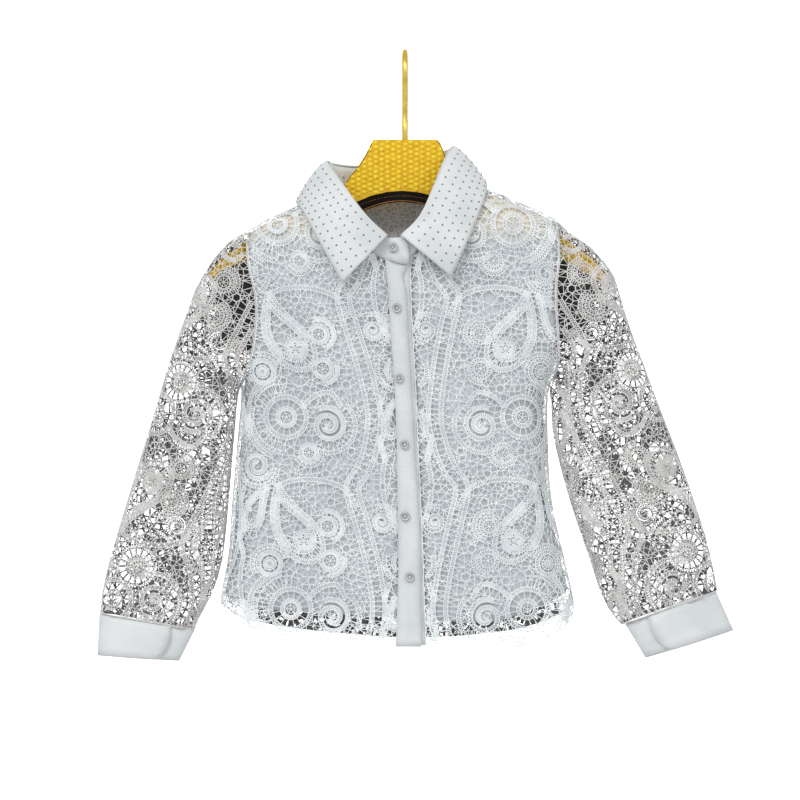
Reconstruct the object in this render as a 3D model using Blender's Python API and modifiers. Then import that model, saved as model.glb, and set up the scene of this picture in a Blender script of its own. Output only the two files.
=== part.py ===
"""A child's lace shirt with a satin collar, placket and cuffs, on its hanger.

The origin is the inside top of the hanger's hook. X runs to the wearer's left, Y to the back
and Z up. Sizes are in millimetres and are scaled to metres where a mesh is made. Every panel
is drawn flat, in cloth distances across and up, and is then laid on the garment's form.
"""
import math

import bmesh
import bpy
from mathutils import Vector
from mathutils.geometry import delaunay_2d_cdt

MM = 0.001

# Walls and gaps
LINING_WALL = 1.0
LACE_WALL = 1.2
SATIN_WALL = 2.0
COLLAR_WALL = 1.6
SEAM_GAP = 0.3
NECK_TRIM = 1.2
BACK_NECK_TRIM = 2.8
CUFF_GAP = 1.0
LINING_LIFT = -1.6
LACE_LIFT = 2.1
UNDER_LIFT = 1.2
PLACKET_LIFT = 4.2
STAND_LIFT = 2.4
LEAF_LIFT = 8.0
LEAF_EDGE_LIFT = 5.2

# The body: a flattened tube that rolls round at its sides and over the shoulders
SIDE_ROLL = 32.0
SIDE_ARC = 33.5
RIDGE_DROP = 45.0
RIDGE_ARC = 62.8
FRONT_CROWN = 5.0
BACK_CROWN = 3.0
FRONT, BACK = -1, 1
RIGHT, LEFT = -1, 1

# up: height; right, left: the two side edges; centre: the button line; front, back: depths
BODY_COLUMNS = ("up", "right", "left", "centre", "front", "back")
BODY_ROWS = (
    (-110, -186, 180, -12.0, 34, 32),
    (-270, -185, 177, -6.0, 35, 32),
    (-302, -176, 161, -4.0, 36, 32),
    (-332, -162, 142, -2.0, 36, 32),
    (-375, -164, 140, 0.0, 35, 31),
    (-445, -170, 144, 2.5, 34, 30),
    (-500, -174, 156, 4.0, 34, 31),
    (-545, -182, 166, 4.0, 35, 32),
    (-610, -188, 174, 4.0, 36, 33),
)

# The shoulder line's height, by the distance across from the button line
RIDGE_COLUMNS = ("across", "up")
RIDGE_ROWS = (
    (-170, -192), (-147, -177.5), (-123, -164.5), (-96, -152.5), (-55, -134), (0, -120),
    (55, -126), (97, -138), (128, -151), (158, -165), (175, -178),
)

# Edges that are drawn as they show from the front: x, z
ARMHOLES = {
    RIGHT: ((-157, -170), (-155, -209), (-148, -240), (-147, -264), (-150, -294), (-155, -313),
            (-162, -331)),
    LEFT: ((151, -160), (152, -203), (149, -237), (150, -265), (151, -294), (149, -316), (142, -334)),
}
NECKLINES = {
    RIGHT: ((-71, -134), (-66, -152), (-52, -174), (-30, -200), (-19, -206)),
    LEFT: ((50, -124), (42, -148), (26, -174), (8, -201), (2, -212)),
}
BACK_NECKLINE = ((-71, -134), (-62, -137), (-44, -141), (-12, -142), (22, -135), (40, -130), (50, -124))
FRONT_HEMS = {
    RIGHT: ((-9, -587), (-60, -580), (-80, -583), (-128, -575), (-155, -569), (-168, -563),
            (-176, -556), (-182, -545)),
    LEFT: ((20, -588), (35, -585.5), (63, -580), (92, -586), (106, -589), (122, -587), (147, -577),
           (164, -562), (166, -548)),
}
BACK_HEM = ((-182, -545), (-170, -560), (-130, -572), (-60, -580), (0, -584), (60, -582), (120, -574),
            (155, -560), (166, -548))
LINING_HEMS = {
    RIGHT: ((-9, -561), (-85, -556), (-150, -551), (-182, -538)),
    LEFT: ((20, -563), (85, -565), (115, -556), (145, -545), (166, -534)),
}
BACK_LINING_HEM = ((-182, -538), (-120, -553), (0, -560), (110, -555), (166, -534))

# The button strip's two edges, and the right edge of the strip under it, across from the centre
PLACKET_COLUMNS = ("up", "left", "right", "under")
PLACKET_ROWS = (
    (-200, -11.5, 10.0, 13.0), (-214, -11.0, 9.5, 13.0), (-222, -10.3, 5.2, 12.8),
    (-236, -9.4, 8.2, 12.5), (-300, -8.6, 8.3, 12.2), (-385, -8.8, 8.3, 11.6),
    (-457, -10.3, 10.4, 12.6), (-520, -10.8, 11.0, 13.6), (-600, -13.6, 12.8, 16.8),
)
PANEL_UNDER_PLACKET = 4.0
# The heights of each strip's two top corners, and of its bottom
PLACKET_TOPS = (-209.8, -207.2)
PLACKET_BOTTOM = -589.0
UNDER_TOPS = (-208.0, -209.0)
UNDER_BOTTOM = -587.5

# Buttons down the front: up, across from the button line
BUTTON_ROWS = ((-254, -1.5), (-323.5, -3.5), (-389, -1.0), (-460, -3.0), (-520, 0.5))
COLLAR_BUTTON = (-12.0, -194.0)
BUTTON_RADIUS = 4.65
BUTTON_THICK = 2.6
BUTTON_SEAT = 0.45
COLLAR_BUTTON_SEAT = 0.6

# The sleeves, each in its own leaning frame: out from the shoulder tip, and down along it
SLEEVE_TIP = {RIGHT: (-157.0, -174.0), LEFT: (151.0, -166.0)}
SLEEVE_LEAN = {RIGHT: math.radians(13.0), LEFT: math.radians(16.5)}
SLEEVE_ROLL = 26.0
SLEEVE_ARC = 26.5
SLEEVE_BLEND = 38.0
LEAST_DEPTH = 4.0
ARMHOLE_GAP = 1.1
TIP_GAP = 2.5
SLEEVE_COLUMNS = ("down", "inner", "outer", "depth")
SLEEVE_ROWS = {
    RIGHT: (
        (-12, -70, -12, 34), (0, -70, 0, 34), (14, -70, 13, 34), (29, -70, 22.5, 34),
        (43, -70, 28.6, 34), (69, -68, 36.8, 34), (100, -60, 40.8, 32), (130, -42, 44.4, 30),
        (154, -28, 46.6, 28), (199, -32, 49.4, 26), (268, -41.8, 54.4, 25), (330, -49, 58.6, 25),
        (364, -46.4, 60.2, 24), (390, -39.5, 59.4, 19), (410, -37, 57, 14),
    ),
    LEFT: (
        (-12, -95, -12, 34), (0, -95, 0, 34), (17, -95, 10.5, 34), (33, -95, 24, 34),
        (48, -95, 32, 34), (69, -92, 39.4, 34), (100, -86, 39.6, 32), (132, -68, 40.6, 30),
        (159, -54.5, 42.6, 28), (204, -63, 45.6, 26), (269, -65.6, 50.8, 25), (342, -63.2, 53.4, 25),
        (370, -62.2, 52.2, 24), (393, -57.4, 50.2, 19), (412, -48, 47.8, 14),
    ),
}

# The cuffs, in the same frames: out and down, for the seam's and the bottom's two ends
CUFF_SEAM = {RIGHT: ((-37.5, 402.4), (57.2, 408.4)), LEFT: ((-47.3, 406.3), (47.4, 400.2))}
CUFF_BOTTOM = {RIGHT: ((-29.5, 435.7), (50.0, 448.8)), LEFT: ((-37.5, 443.7), (53.0, 442.4))}
CUFF_DEPTH = 14.0
CUFF_STEP = 3.0
# Turns round a cuff: where it starts under its front end, how far it laps, and its cloth sizes
CUFF_START = 0.237
CUFF_LAP = 0.10
CUFF_ROUND = 200.0
CUFF_HIGH = 40.0
CUFF_END = ((0.0, 0.0), (0.018, 0.35), (0.020, 0.6), (0.008, 0.85), (-0.012, 1.0))
GATHER_COUNT = 7
GATHER_HEIGHT = 1.6
GATHER_REACH = 34.0

# Soft folds: x and z of the middle, half length, half width, height, and lean from upright
BODY_FOLDS = {
    FRONT: (
        (-142, -318, 36, 15, 3.5, -48), (-120, -352, 44, 18, 2.6, -40), (-134, -470, 80, 24, 2.6, -6),
        (-70, -500, 90, 26, 2.4, 4), (122, -330, 40, 16, 3.0, 46), (60, -480, 90, 26, 2.6, -3),
        (112, -500, 85, 24, 3.0, 8), (70, -300, 60, 24, 1.8, 12),
    ),
    BACK: (
        (-120, -340, 60, 22, 3.0, -35), (-95, -480, 110, 28, 3.2, -4), (-20, -500, 110, 30, 2.6, 3),
        (60, -490, 120, 28, 3.4, 2), (118, -350, 60, 22, 3.0, 35), (125, -500, 90, 26, 2.6, 6),
        (10, -240, 70, 34, 2.0, 0),
    ),
}
# The same for the sleeves, in their own frames
SLEEVE_FOLDS = {
    FRONT: (
        (8, 120, 95, 12, 5.0, -4), (-18, 196, 62, 13, 4.4, 28), (24, 250, 74, 14, 3.8, -8),
        (-12, 316, 62, 14, 4.2, 12), (32, 352, 52, 12, 4.0, -10), (4, 385, 40, 11, 3.4, 0),
    ),
    BACK: (
        (6, 130, 90, 13, 4.6, 6), (-14, 215, 66, 14, 4.2, 24), (22, 280, 74, 14, 3.6, -12),
        (-8, 345, 56, 13, 4.0, 8), (34, 372, 44, 12, 3.6, -6),
    ),
}

# The lace's repeat, and its largest gaps: across, up, radius
REPEAT_WIDE = 144.0
REPEAT_HIGH = 190.0
GAP_SPOTS = (
    (98, 18, 4.6), (124, 34, 4.2), (128, 66, 4.4), (80, 80, 4.6), (102, 88, 4.0), (40, 84, 4.6),
    (38, 18, 4.2), (46, 112, 4.4), (60, 158, 4.6), (86, 168, 4.2), (138, 126, 4.4), (64, 186, 4.0),
    (14, 172, 4.4),
)
GAP_EDGE = 9.0
# Gaps are cut above the hem's own band, and above the gathers at the cuff
HEM_BAND_TOP = -566.0
GATHER_TOP = 358.0
# How far the inner points of a panel stay from its edge and from the middle of a gap
EDGE_CLEAR = 5.0
GAP_CLEAR = 7.4

# The collar: x, z on the neck seam; x, y, z on the fold; x, y, z on the outer edge
COLLAR_COLUMNS = ("face", "seam_x", "seam_z", "fold_x", "fold_y", "fold_z", "edge_x", "edge_y", "edge_z")
COLLAR_ROWS = (
    (FRONT, -26, -203, -17, -47, -183.5, -62, -52, -229),
    (FRONT, -38, -191.5, -36, -42, -165.5, -76, -49, -204),
    (FRONT, -53, -172, -50, -33, -148, -90, -42, -179),
    (FRONT, -66, -150, -64, -18, -128, -101, -26, -158),
    (FRONT, -71, -134, -77, 0, -108, -109, 0, -147),
    (BACK, -63, -136, -71, 15, -109, -104, 25, -151),
    (BACK, -45, -140, -49, 28, -110.5, -80, 38, -154),
    (BACK, -12, -141, -13, 33, -107, -12, 44, -152),
    (BACK, 24, -134, 28, 28, -99, 58, 38, -145),
    (BACK, 42, -128, 43, 15, -95, 78, 25, -137),
    (FRONT, 50, -124, 47.5, 0, -92.5, 82, 0, -129),
    (FRONT, 44, -144, 39, -19, -108, 79, -27, -144),
    (FRONT, 32, -165, 28, -33, -135, 69, -43, -171),
    (FRONT, 21, -182, 14, -42, -164, 58, -50, -196),
    (FRONT, 8, -201, -4.5, -47, -183.5, 45.5, -53, -223.5),
)
COLLAR_SPLIT = 28
COLLAR_MIDDLE_X = -13.0
LEAF_BULGE = 13.0
LEAF_FALLS = (0.0, 0.08, 0.25, 0.5, 0.76, 1.0)
FOLD_RISE = 1.2
STAND_INSET = 2.4

# The button tab of the stand, across the button line: x, z along its lower and its upper edge
TAB_LONG = 30.0
TAB_END = ((4.4, -213.6), (4.4, -184.0))
UNDER_END = ((-11.0, -209.0), (-14.5, -184.5))
UNDER_END_LONG = 17.0
TAB_LIFT = 7.0
UNDER_END_LIFT = 3.4
STAND_HIGH = 26.0
STAND_LONG = 330.0
STAND_LOW = 1.2
# The tab's rounded end: along from its tip, up from the stand's seam
TAB_CORNER = ((5.0, 1.2), (1.4, 2.8), (0.2, 6.5), (0.0, 12.5), (0.9, 18.0), (3.6, 22.6), (9.0, 25.4))

# The hanger, as it shows from the front: x, z
BOARD_HALF = 5.0
BOARD_TOP = {
    RIGHT: ((-197, -219), (-190, -211), (-180, -201), (-157, -185), (-135, -171), (-108, -158.5),
            (-80, -146.5), (-68, -141), (-61.5, -132), (-55, -121.5), (-47, -112), (-39.5, -100),
            (-34, -89), (-31.5, -85)),
    LEFT: ((32, -85), (35, -88), (39, -97), (41, -107), (42, -118), (44.5, -129), (52, -136), (85, -145),
           (116, -158), (146, -171.5), (152, -177), (172, -192), (190, -205), (201, -219)),
}
BOARD_LOWER = (
    (203, -228), (196, -228), (175, -214), (153, -203), (100, -176), (62, -155), (28, -141),
    (-3, -136), (-34, -141), (-64, -155), (-106, -176), (-165, -208), (-183, -216), (-192, -223),
    (-197, -223),
)
CORE_HALF = 4.0
CORE_LOWER = (
    (-187, -222), (-188.5, -245), (-187, -272), (-181, -288), (-168, -296), (-152, -296), (-137, -285),
    (-122, -255), (-104, -216), (-74, -178), (-40, -155), (-3, -146.5), (34, -155), (70, -178),
    (98, -210), (116, -245), (132, -274), (148, -286), (164, -286), (178, -278), (187, -262),
    (190, -240), (188, -225.5),
)
CORE_GAP = 0.4
HOOK_RADIUS = 3.0
HOOK_BEND = 22.0
HOOK_TIP_Z = -52.0
HOOK_STEM = ((20, -36), (12, -52), (3.5, -64), (0, -74), (0, -84.7))


def clear_scene():
    for old in list(bpy.data.objects):
        bpy.data.objects.remove(old, do_unlink=True)


def new_collection(name):
    collection = bpy.data.collections.new(name)
    bpy.context.scene.collection.children.link(collection)
    return collection


def make_material(name, colour, roughness, metallic=0.0, sheen=0.0):
    material = bpy.data.materials.new(name)
    material.use_nodes = True
    shader = material.node_tree.nodes["Principled BSDF"]
    shader.inputs["Base Color"].default_value = (*colour, 1.0)
    shader.inputs["Roughness"].default_value = roughness
    shader.inputs["Metallic"].default_value = metallic
    shader.inputs["Sheen Weight"].default_value = sheen
    return material


def smooth(x):
    x = min(max(x, 0.0), 1.0)
    return x * x * (3.0 - 2.0 * x)


def read_rows(rows, at, column):
    """The value of a column where the first column has the value `at`, on a smooth curve."""
    falling = rows[0][0] > rows[-1][0]
    keys = [-row[0] if falling else row[0] for row in rows]
    values = [row[column] for row in rows]
    at = -at if falling else at
    at = min(max(at, keys[0]), keys[-1])
    last = len(keys) - 1
    i = max(k for k in range(last) if keys[k] <= at)

    def slope(k):
        before, after = max(k - 1, 0), min(k + 1, last)
        return (values[after] - values[before]) / (keys[after] - keys[before])

    span = keys[i + 1] - keys[i]
    t = (at - keys[i]) / span
    start, end = slope(i) * span, slope(i + 1) * span
    rise = values[i + 1] - values[i]
    return values[i] + start * t + (3 * rise - 2 * start - end) * t * t + (start + end - 2 * rise) * t ** 3


def body_value(name, z):
    return read_rows(BODY_ROWS, z, BODY_COLUMNS.index(name))


def ridge_height(across):
    return read_rows(RIDGE_ROWS, across, RIDGE_COLUMNS.index("up"))


def side_edge(z, side):
    """The distance from the button line to the side edge."""
    edge = body_value("right" if side == RIGHT else "left", z)
    return side * (edge - body_value("centre", z))


def fold_height(folds, x, z):
    total = 0.0
    for mid_x, mid_z, half_long, half_wide, high, lean in folds:
        turn = math.radians(lean)
        across = (x - mid_x) * math.cos(turn) + (z - mid_z) * math.sin(turn)
        along = (z - mid_z) * math.cos(turn) - (x - mid_x) * math.sin(turn)
        if abs(along) < half_long and abs(across) < 3 * half_wide:
            fade = math.cos(math.pi / 2 * along / half_long) ** 2
            total += high * math.exp(-(across / half_wide) ** 2) * fade
    return total


def body_swell(x, z, face, across, edge):
    """The middle's depth beyond the edges' roll: the crown and the folds."""
    crown = FRONT_CROWN if face == FRONT else BACK_CROWN
    flat = max(0.0, 1.0 - (across / edge) ** 2)
    return crown * flat + fold_height(BODY_FOLDS[face], x, z)


def body_depth(x, z, lift, face):
    """How far the body's cloth stands from the middle plane, seen at x and z."""
    across = x - body_value("centre", z)
    side = RIGHT if across < 0 else LEFT
    edge = side_edge(z, side)
    flat = edge - SIDE_ROLL
    turn = min(max((abs(across) - flat) / (SIDE_ROLL + lift), 0.0), 1.0)
    cloth = side * min(abs(across), flat) + side * math.asin(turn) * SIDE_ARC
    drop = ridge_height(cloth) + lift - z
    climb = min(max(1.0 - drop / (RIDGE_DROP + lift), 0.0), 1.0)
    depth = body_value("front" if face == FRONT else "back", z) + lift
    swell = body_swell(x, z, face, across, edge)
    return (depth + swell) * math.sqrt(1.0 - turn ** 2) * math.sqrt(1.0 - climb ** 2)


def body_point(across, up, lift, face):
    """A point of the body from its cloth distances, `lift` off the base form."""
    top = ridge_height(across) + RIDGE_ARC - RIDGE_DROP
    theta = min(max((top - up) / RIDGE_ARC, 0.0), 1.0) * math.pi / 2
    ridge = ridge_height(across)
    z = up if up < ridge - RIDGE_DROP else ridge + lift - (RIDGE_DROP + lift) * (1.0 - math.cos(theta))
    side = RIGHT if across < 0 else LEFT
    edge = side_edge(z, side)
    flat = edge - SIDE_ROLL
    phi = min(max((abs(across) - flat) / SIDE_ARC, 0.0), math.pi / 2)
    reach = min(abs(across), flat) + (SIDE_ROLL + lift) * math.sin(phi)
    x = body_value("centre", z) + side * reach
    depth = body_value("front" if face == FRONT else "back", z) + lift
    swell = body_swell(x, z, face, side * reach, edge)
    return Vector((x, face * (depth + swell) * math.cos(phi) * math.sin(theta), z))


def body_cloth(x, z):
    """The cloth distances of the point that shows at x and z."""
    across = x - body_value("centre", z)
    side = RIGHT if across < 0 else LEFT
    flat = side_edge(z, side) - SIDE_ROLL
    turn = min(max((abs(across) - flat) / SIDE_ROLL, 0.0), 1.0)
    cloth = side * (min(abs(across), flat) + math.asin(turn) * SIDE_ARC)
    drop = max(ridge_height(cloth) - z, 0.0)
    if drop >= RIDGE_DROP:
        return cloth, z
    theta = math.acos(1.0 - drop / RIDGE_DROP)
    return cloth, ridge_height(cloth) + RIDGE_ARC - RIDGE_DROP - RIDGE_ARC * theta / (math.pi / 2)


def side_cloth(z, side):
    return side * (side_edge(z, side) - SIDE_ROLL + SIDE_ARC * math.pi / 2)


def ridge_cloth(across):
    return ridge_height(across) + RIDGE_ARC - RIDGE_DROP


def sleeve_value(name, down, side):
    return read_rows(SLEEVE_ROWS[side], down, SLEEVE_COLUMNS.index(name))


def sleeve_place(out, down, side):
    """x and z of a place in a sleeve's frame."""
    lean, tip = SLEEVE_LEAN[side], SLEEVE_TIP[side]
    x = tip[0] + side * (out * math.cos(lean) + down * math.sin(lean))
    return x, tip[1] + out * math.sin(lean) - down * math.cos(lean)


def sleeve_frame(x, z, side):
    """The place in a sleeve's frame of x and z."""
    lean, tip = SLEEVE_LEAN[side], SLEEVE_TIP[side]
    away, rise = (x - tip[0]) * side, z - tip[1]
    return away * math.cos(lean) + rise * math.sin(lean), away * math.sin(lean) - rise * math.cos(lean)


def armhole_edge(side, face):
    """The lace's armhole edge as it lies on the body, from the shoulder tip to the armpit."""
    cloth = [body_cloth(x, z) for x, z in curve_through(ARMHOLES[side], 15)]
    return [body_point(u, v, LACE_LIFT, face) for u, v in cloth]


def sleeve_own_depth(out, down, side):
    """The depth of a sleeve's tube by itself, before it meets the armhole."""
    over = max(out - sleeve_value("outer", down, side), sleeve_value("inner", down, side) - out) + SLEEVE_ROLL
    turn = min(max(over / SLEEVE_ROLL, 0.0), 1.0)
    return sleeve_value("depth", down, side) * math.sqrt(1.0 - turn ** 2)


def armhole_steps(side, face):
    """The body's depth as a share of the sleeve's own, along the armhole: x, z, share."""
    steps = []
    for point in armhole_edge(side, face):
        own = sleeve_own_depth(*sleeve_frame(point.x, point.z, side), side)
        steps.append((point.x, point.z, abs(point.y) / own if own > LEAST_DEPTH else 1.0))
    return steps


def armhole_step(x, z, side, face):
    """The distance to the armhole, and the depth share at its nearest place."""
    nearest, step = 1e9, 1.0
    rows = STEPS[side, face]
    for (ax, az, a_step), (bx, bz, b_step) in zip(rows, rows[1:]):
        run_x, run_z = bx - ax, bz - az
        t = ((x - ax) * run_x + (z - az) * run_z) / (run_x ** 2 + run_z ** 2)
        t = min(max(t, 0.0), 1.0)
        away = math.hypot(x - ax - t * run_x, z - az - t * run_z)
        if away < nearest:
            nearest, step = away, a_step + (b_step - a_step) * t
    return nearest, step


def cuff_seam(out, side):
    (a_out, a_down), (b_out, b_down) = CUFF_SEAM[side]
    return a_down + (b_down - a_down) * (out - a_out) / (b_out - a_out)


def sleeve_point(cloth, down, lift, side, face):
    """A point of a sleeve: cloth distance out from its middle line, and down along it."""
    inner, outer = sleeve_value("inner", down, side), sleeve_value("outer", down, side)
    flat_in, flat_out = inner + SLEEVE_ROLL, outer - SLEEVE_ROLL
    over = cloth - flat_out if cloth > flat_out else min(cloth - flat_in, 0.0)
    phi = min(abs(over) / SLEEVE_ARC, math.pi / 2)
    out = min(max(cloth, flat_in), flat_out) + math.copysign((SLEEVE_ROLL + lift) * math.sin(phi), over)
    x, z = sleeve_place(out, down, side)
    to_seam = cuff_seam(out, side) - down
    gather = GATHER_HEIGHT * smooth(1.0 - to_seam / GATHER_REACH)
    wave = gather * math.cos(2 * math.pi * GATHER_COUNT * (out - inner) / (outer - inner))
    swell = fold_height(SLEEVE_FOLDS[face], out, down) * smooth(to_seam / GATHER_REACH)
    away, step = armhole_step(x, z, side, face)
    seam = smooth(1.0 - away / SLEEVE_BLEND)
    depth = (sleeve_value("depth", down, side) + lift + swell * (1.0 - seam) + wave) * math.cos(phi)
    return Vector((x, face * depth * (1.0 + (step - 1.0) * seam), z))


def sleeve_cloth(x, z, side):
    out, down = sleeve_frame(x, z, side)
    flat_in = sleeve_value("inner", down, side) + SLEEVE_ROLL
    flat_out = sleeve_value("outer", down, side) - SLEEVE_ROLL
    over = out - flat_out if out > flat_out else min(out - flat_in, 0.0)
    turn = math.asin(min(abs(over) / SLEEVE_ROLL, 1.0))
    return min(max(out, flat_in), flat_out) + math.copysign(turn * SLEEVE_ARC, over), down


def shifted(points, distance):
    """A line of points moved sideways, to the left of its run."""
    result = []
    for i, (u, v) in enumerate(points):
        before, after = points[max(i - 1, 0)], points[min(i + 1, len(points) - 1)]
        share = distance / math.dist(before, after)
        result.append((u - (after[1] - before[1]) * share, v + (after[0] - before[0]) * share))
    return result


def curve_through(points, step):
    """Points about a step apart on a smooth curve through a list of points."""
    result = [tuple(points[0])]
    for i in range(len(points) - 1):
        p = [Vector(points[min(max(k, 0), len(points) - 1)]) for k in range(i - 1, i + 3)]
        count = max(1, math.ceil((p[2] - p[1]).length / step))
        for j in range(1, count + 1):
            t = j / count
            blend = (2 * p[1] + (p[2] - p[0]) * t + (2 * p[0] - 5 * p[1] + 4 * p[2] - p[3]) * t * t
                     + (3 * p[1] - p[0] - 3 * p[2] + p[3]) * t ** 3)
            result.append(tuple(blend / 2))
    return result


def inside(point, outline):
    hit = False
    for (ax, ay), (bx, by) in zip(outline, outline[1:] + outline[:1]):
        if (ay > point[1]) != (by > point[1]) and point[0] < ax + (bx - ax) * (point[1] - ay) / (by - ay):
            hit = not hit
    return hit


def outline_distance(point, outline):
    nearest = 1e9
    for (ax, ay), (bx, by) in zip(outline, outline[1:] + outline[:1]):
        run = (bx - ax) ** 2 + (by - ay) ** 2
        t = 0.0 if run == 0 else ((point[0] - ax) * (bx - ax) + (point[1] - ay) * (by - ay)) / run
        t = min(max(t, 0.0), 1.0)
        nearest = min(nearest, math.hypot(point[0] - ax - t * (bx - ax), point[1] - ay - t * (by - ay)))
    return nearest


def lace_gaps(outline, shift, mirror, low, high):
    """The repeat's largest gaps inside an outline and between two heights, as small polygons."""
    gaps = []
    for column in range(-3, 4):
        for row in range(-5, 6):
            for i, (across, up, radius) in enumerate(GAP_SPOTS):
                u = mirror * (across + column * REPEAT_WIDE) + shift[0]
                v = up + (row + column % 2 / 2) * REPEAT_HIGH + shift[1]
                if not low < v < high or not inside((u, v), outline):
                    continue
                if outline_distance((u, v), outline) < radius + GAP_EDGE:
                    continue
                sides = 5 + i % 2
                start = 0.7 * i + column + 0.4 * row
                ring = [start + 2 * math.pi * k / sides for k in range(sides)]
                gaps.append([(u + radius * math.cos(a), v + radius * math.sin(a)) for a in ring])
    return gaps


def panel_mesh(name, outline, grid, gaps, place):
    """An open sheet: the flat outline with its gaps, filled with triangles and laid on a form."""
    points, edges = [], []
    for ring in [outline] + gaps:
        first = len(points)
        points += ring
        edges += [(first + i, first + (i + 1) % len(ring)) for i in range(len(ring))]
    centres = [tuple(sum(p[axis] for p in ring) / len(ring) for axis in range(2)) for ring in gaps]
    for point in grid:
        if not inside(point, outline) or outline_distance(point, outline) < EDGE_CLEAR:
            continue
        if all(math.dist(point, centre) > GAP_CLEAR for centre in centres):
            points.append(point)
    flat = [Vector(point) for point in points]
    flat, _, triangles, _, _, _ = delaunay_2d_cdt(flat, edges, [], 0, 1e-5)
    kept = []
    for triangle in triangles:
        middle = tuple(sum(flat[k][axis] for k in triangle) / 3 for axis in range(2))
        near = [ring for centre, ring in zip(centres, gaps) if math.dist(middle, centre) < GAP_CLEAR]
        if inside(middle, outline) and not any(inside(middle, ring) for ring in near):
            kept.append(triangle)
    mesh = bpy.data.meshes.new(name)
    mesh.from_pydata([place(*point) * MM for point in flat], [], kept)
    return mesh


def add_object(name, mesh, material, collection):
    thing = bpy.data.objects.new(name, mesh)
    collection.objects.link(thing)
    mesh.materials.append(material)
    return thing


def tidy_sheet(mesh, face):
    """Drops loose points and turns the faces outward: to the front or to the back."""
    sheet = bmesh.new()
    sheet.from_mesh(mesh)
    loose = [vertex for vertex in sheet.verts if not vertex.link_faces]
    bmesh.ops.delete(sheet, geom=loose, context="VERTS")
    bmesh.ops.recalc_face_normals(sheet, faces=sheet.faces)
    total = sum((f.normal * f.calc_area() for f in sheet.faces), Vector())
    if total.y * face < 0:
        bmesh.ops.reverse_faces(sheet, faces=sheet.faces)
    sheet.to_mesh(mesh)
    sheet.free()


def add_wall(name, mesh, wall, face, material, collection):
    tidy_sheet(mesh, face)
    thing = add_object(name, mesh, material, collection)
    solidify = thing.modifiers.new("wall", "SOLIDIFY")
    solidify.thickness = wall * MM
    solidify.offset = 0.0
    return thing


def body_grid(side_columns=(10, 20, 30, 41, 53), step=31.0, near_step=12.5):
    """Inner points of the body panels: denser where the cloth rolls round."""
    grid = []
    for up in spaced_values(-600, -390, 35) + spaced_values(-371, -257, 19) + spaced_values(-230, -160, 24):
        for side in (RIGHT, LEFT):
            edge = side_cloth(up, side)
            grid += [(edge - side * column, up) for column in side_columns]
            reach = abs(edge) - side_columns[-1]
            count = int(reach // step)
            grid += [(side * reach * (k + 0.5) / (count + 0.5), up) for k in range(count)]
    return [(a, u) for a, u in grid if u < ridge_height(a) - RIDGE_DROP - near_step] + [
        (across, ridge_cloth(across) - near_step * k)
        for across in range(-150, 165, 24) for k in range(1, 5)]


def placket_edge(name, z):
    return read_rows(PLACKET_ROWS, z, PLACKET_COLUMNS.index(name))


def front_outline(side, hem):
    """A front's outline in cloth distances, from the strip's edge round by the hem and the armhole."""
    def strip_edge(z):
        if side == RIGHT:
            return placket_edge("left", z) + PANEL_UNDER_PLACKET
        return placket_edge("under", z) + 2 * SEAM_GAP

    neck = [body_cloth(x, z) for x, z in curve_through(NECKLINES[side], 14)]
    neck = shifted(neck, side * NECK_TRIM)
    strip_top = neck[-1][1]
    neck = [(u, v) for u, v in neck if side * (u - strip_edge(v)) > 1.0]
    hem_line = [body_cloth(x, z) for x, z in curve_through(hem, 15)][1:-1]
    low = hem[0][1]
    strip = [(strip_edge(z), z) for z in spaced_values(strip_top - 2.0, low, 24)]
    armpit = ARMHOLES[side][-1][1]
    seam = [(side_cloth(z, side) - side * SEAM_GAP, z) for z in spaced_values(hem[-1][1], armpit, 19)]
    arm = [body_cloth(x, z) for x, z in curve_through(ARMHOLES[side], 15)]
    arm = [(u - side * SEAM_GAP, v) for u, v in reversed(arm)][1:-1]
    tip, neck_end = arm[-1][0], neck[0][0]
    count = max(2, math.ceil(abs(tip - neck_end) / 16))
    shoulder = [tip + (neck_end - tip) * k / count for k in range(count + 1)]
    shoulder = [(u, ridge_cloth(u) - SEAM_GAP) for u in shoulder]
    neck = [(u, v) for u, v in neck if v < ridge_cloth(u) - 3.0]
    hem_line = [(u, v) for u, v in hem_line if side * (u - strip_edge(low)) > 3.0]
    return strip + hem_line + seam + arm[:-1] + shoulder + neck


def spaced_values(start, end, step):
    count = max(1, math.ceil(abs(end - start) / step))
    return [start + (end - start) * k / count for k in range(count + 1)]


def back_outline(hem):
    halves = {}
    for side in (RIGHT, LEFT):
        low = hem[0][1] if side == RIGHT else hem[-1][1]
        seam = [(side_cloth(z, side) - side * SEAM_GAP, z)
                for z in spaced_values(low, ARMHOLES[side][-1][1], 19)]
        arm = [body_cloth(x, z) for x, z in curve_through(ARMHOLES[side], 15)]
        arm = [(u - side * SEAM_GAP, v) for u, v in reversed(arm)][1:-1]
        end = body_cloth(*NECKLINES[side][0])[0] + side * BACK_NECK_TRIM
        tip = arm[-1][0]
        count = math.ceil(abs(tip - end) / 16)
        top = [tip + (end - tip) * k / count for k in range(count + 1)]
        halves[side] = seam + arm[:-1] + [(u, ridge_cloth(u) - SEAM_GAP) for u in top]
    neck = [body_cloth(x, z) for x, z in curve_through(BACK_NECKLINE, 12)]
    neck = [(u, v) for u, v in shifted(neck, -BACK_NECK_TRIM * 0.7) if v < ridge_cloth(u) - 3.0]
    hem_line = [body_cloth(x, z) for x, z in curve_through(hem, 16)][1:-1]
    return list(reversed(halves[LEFT])) + hem_line[::-1] + halves[RIGHT] + neck


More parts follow.
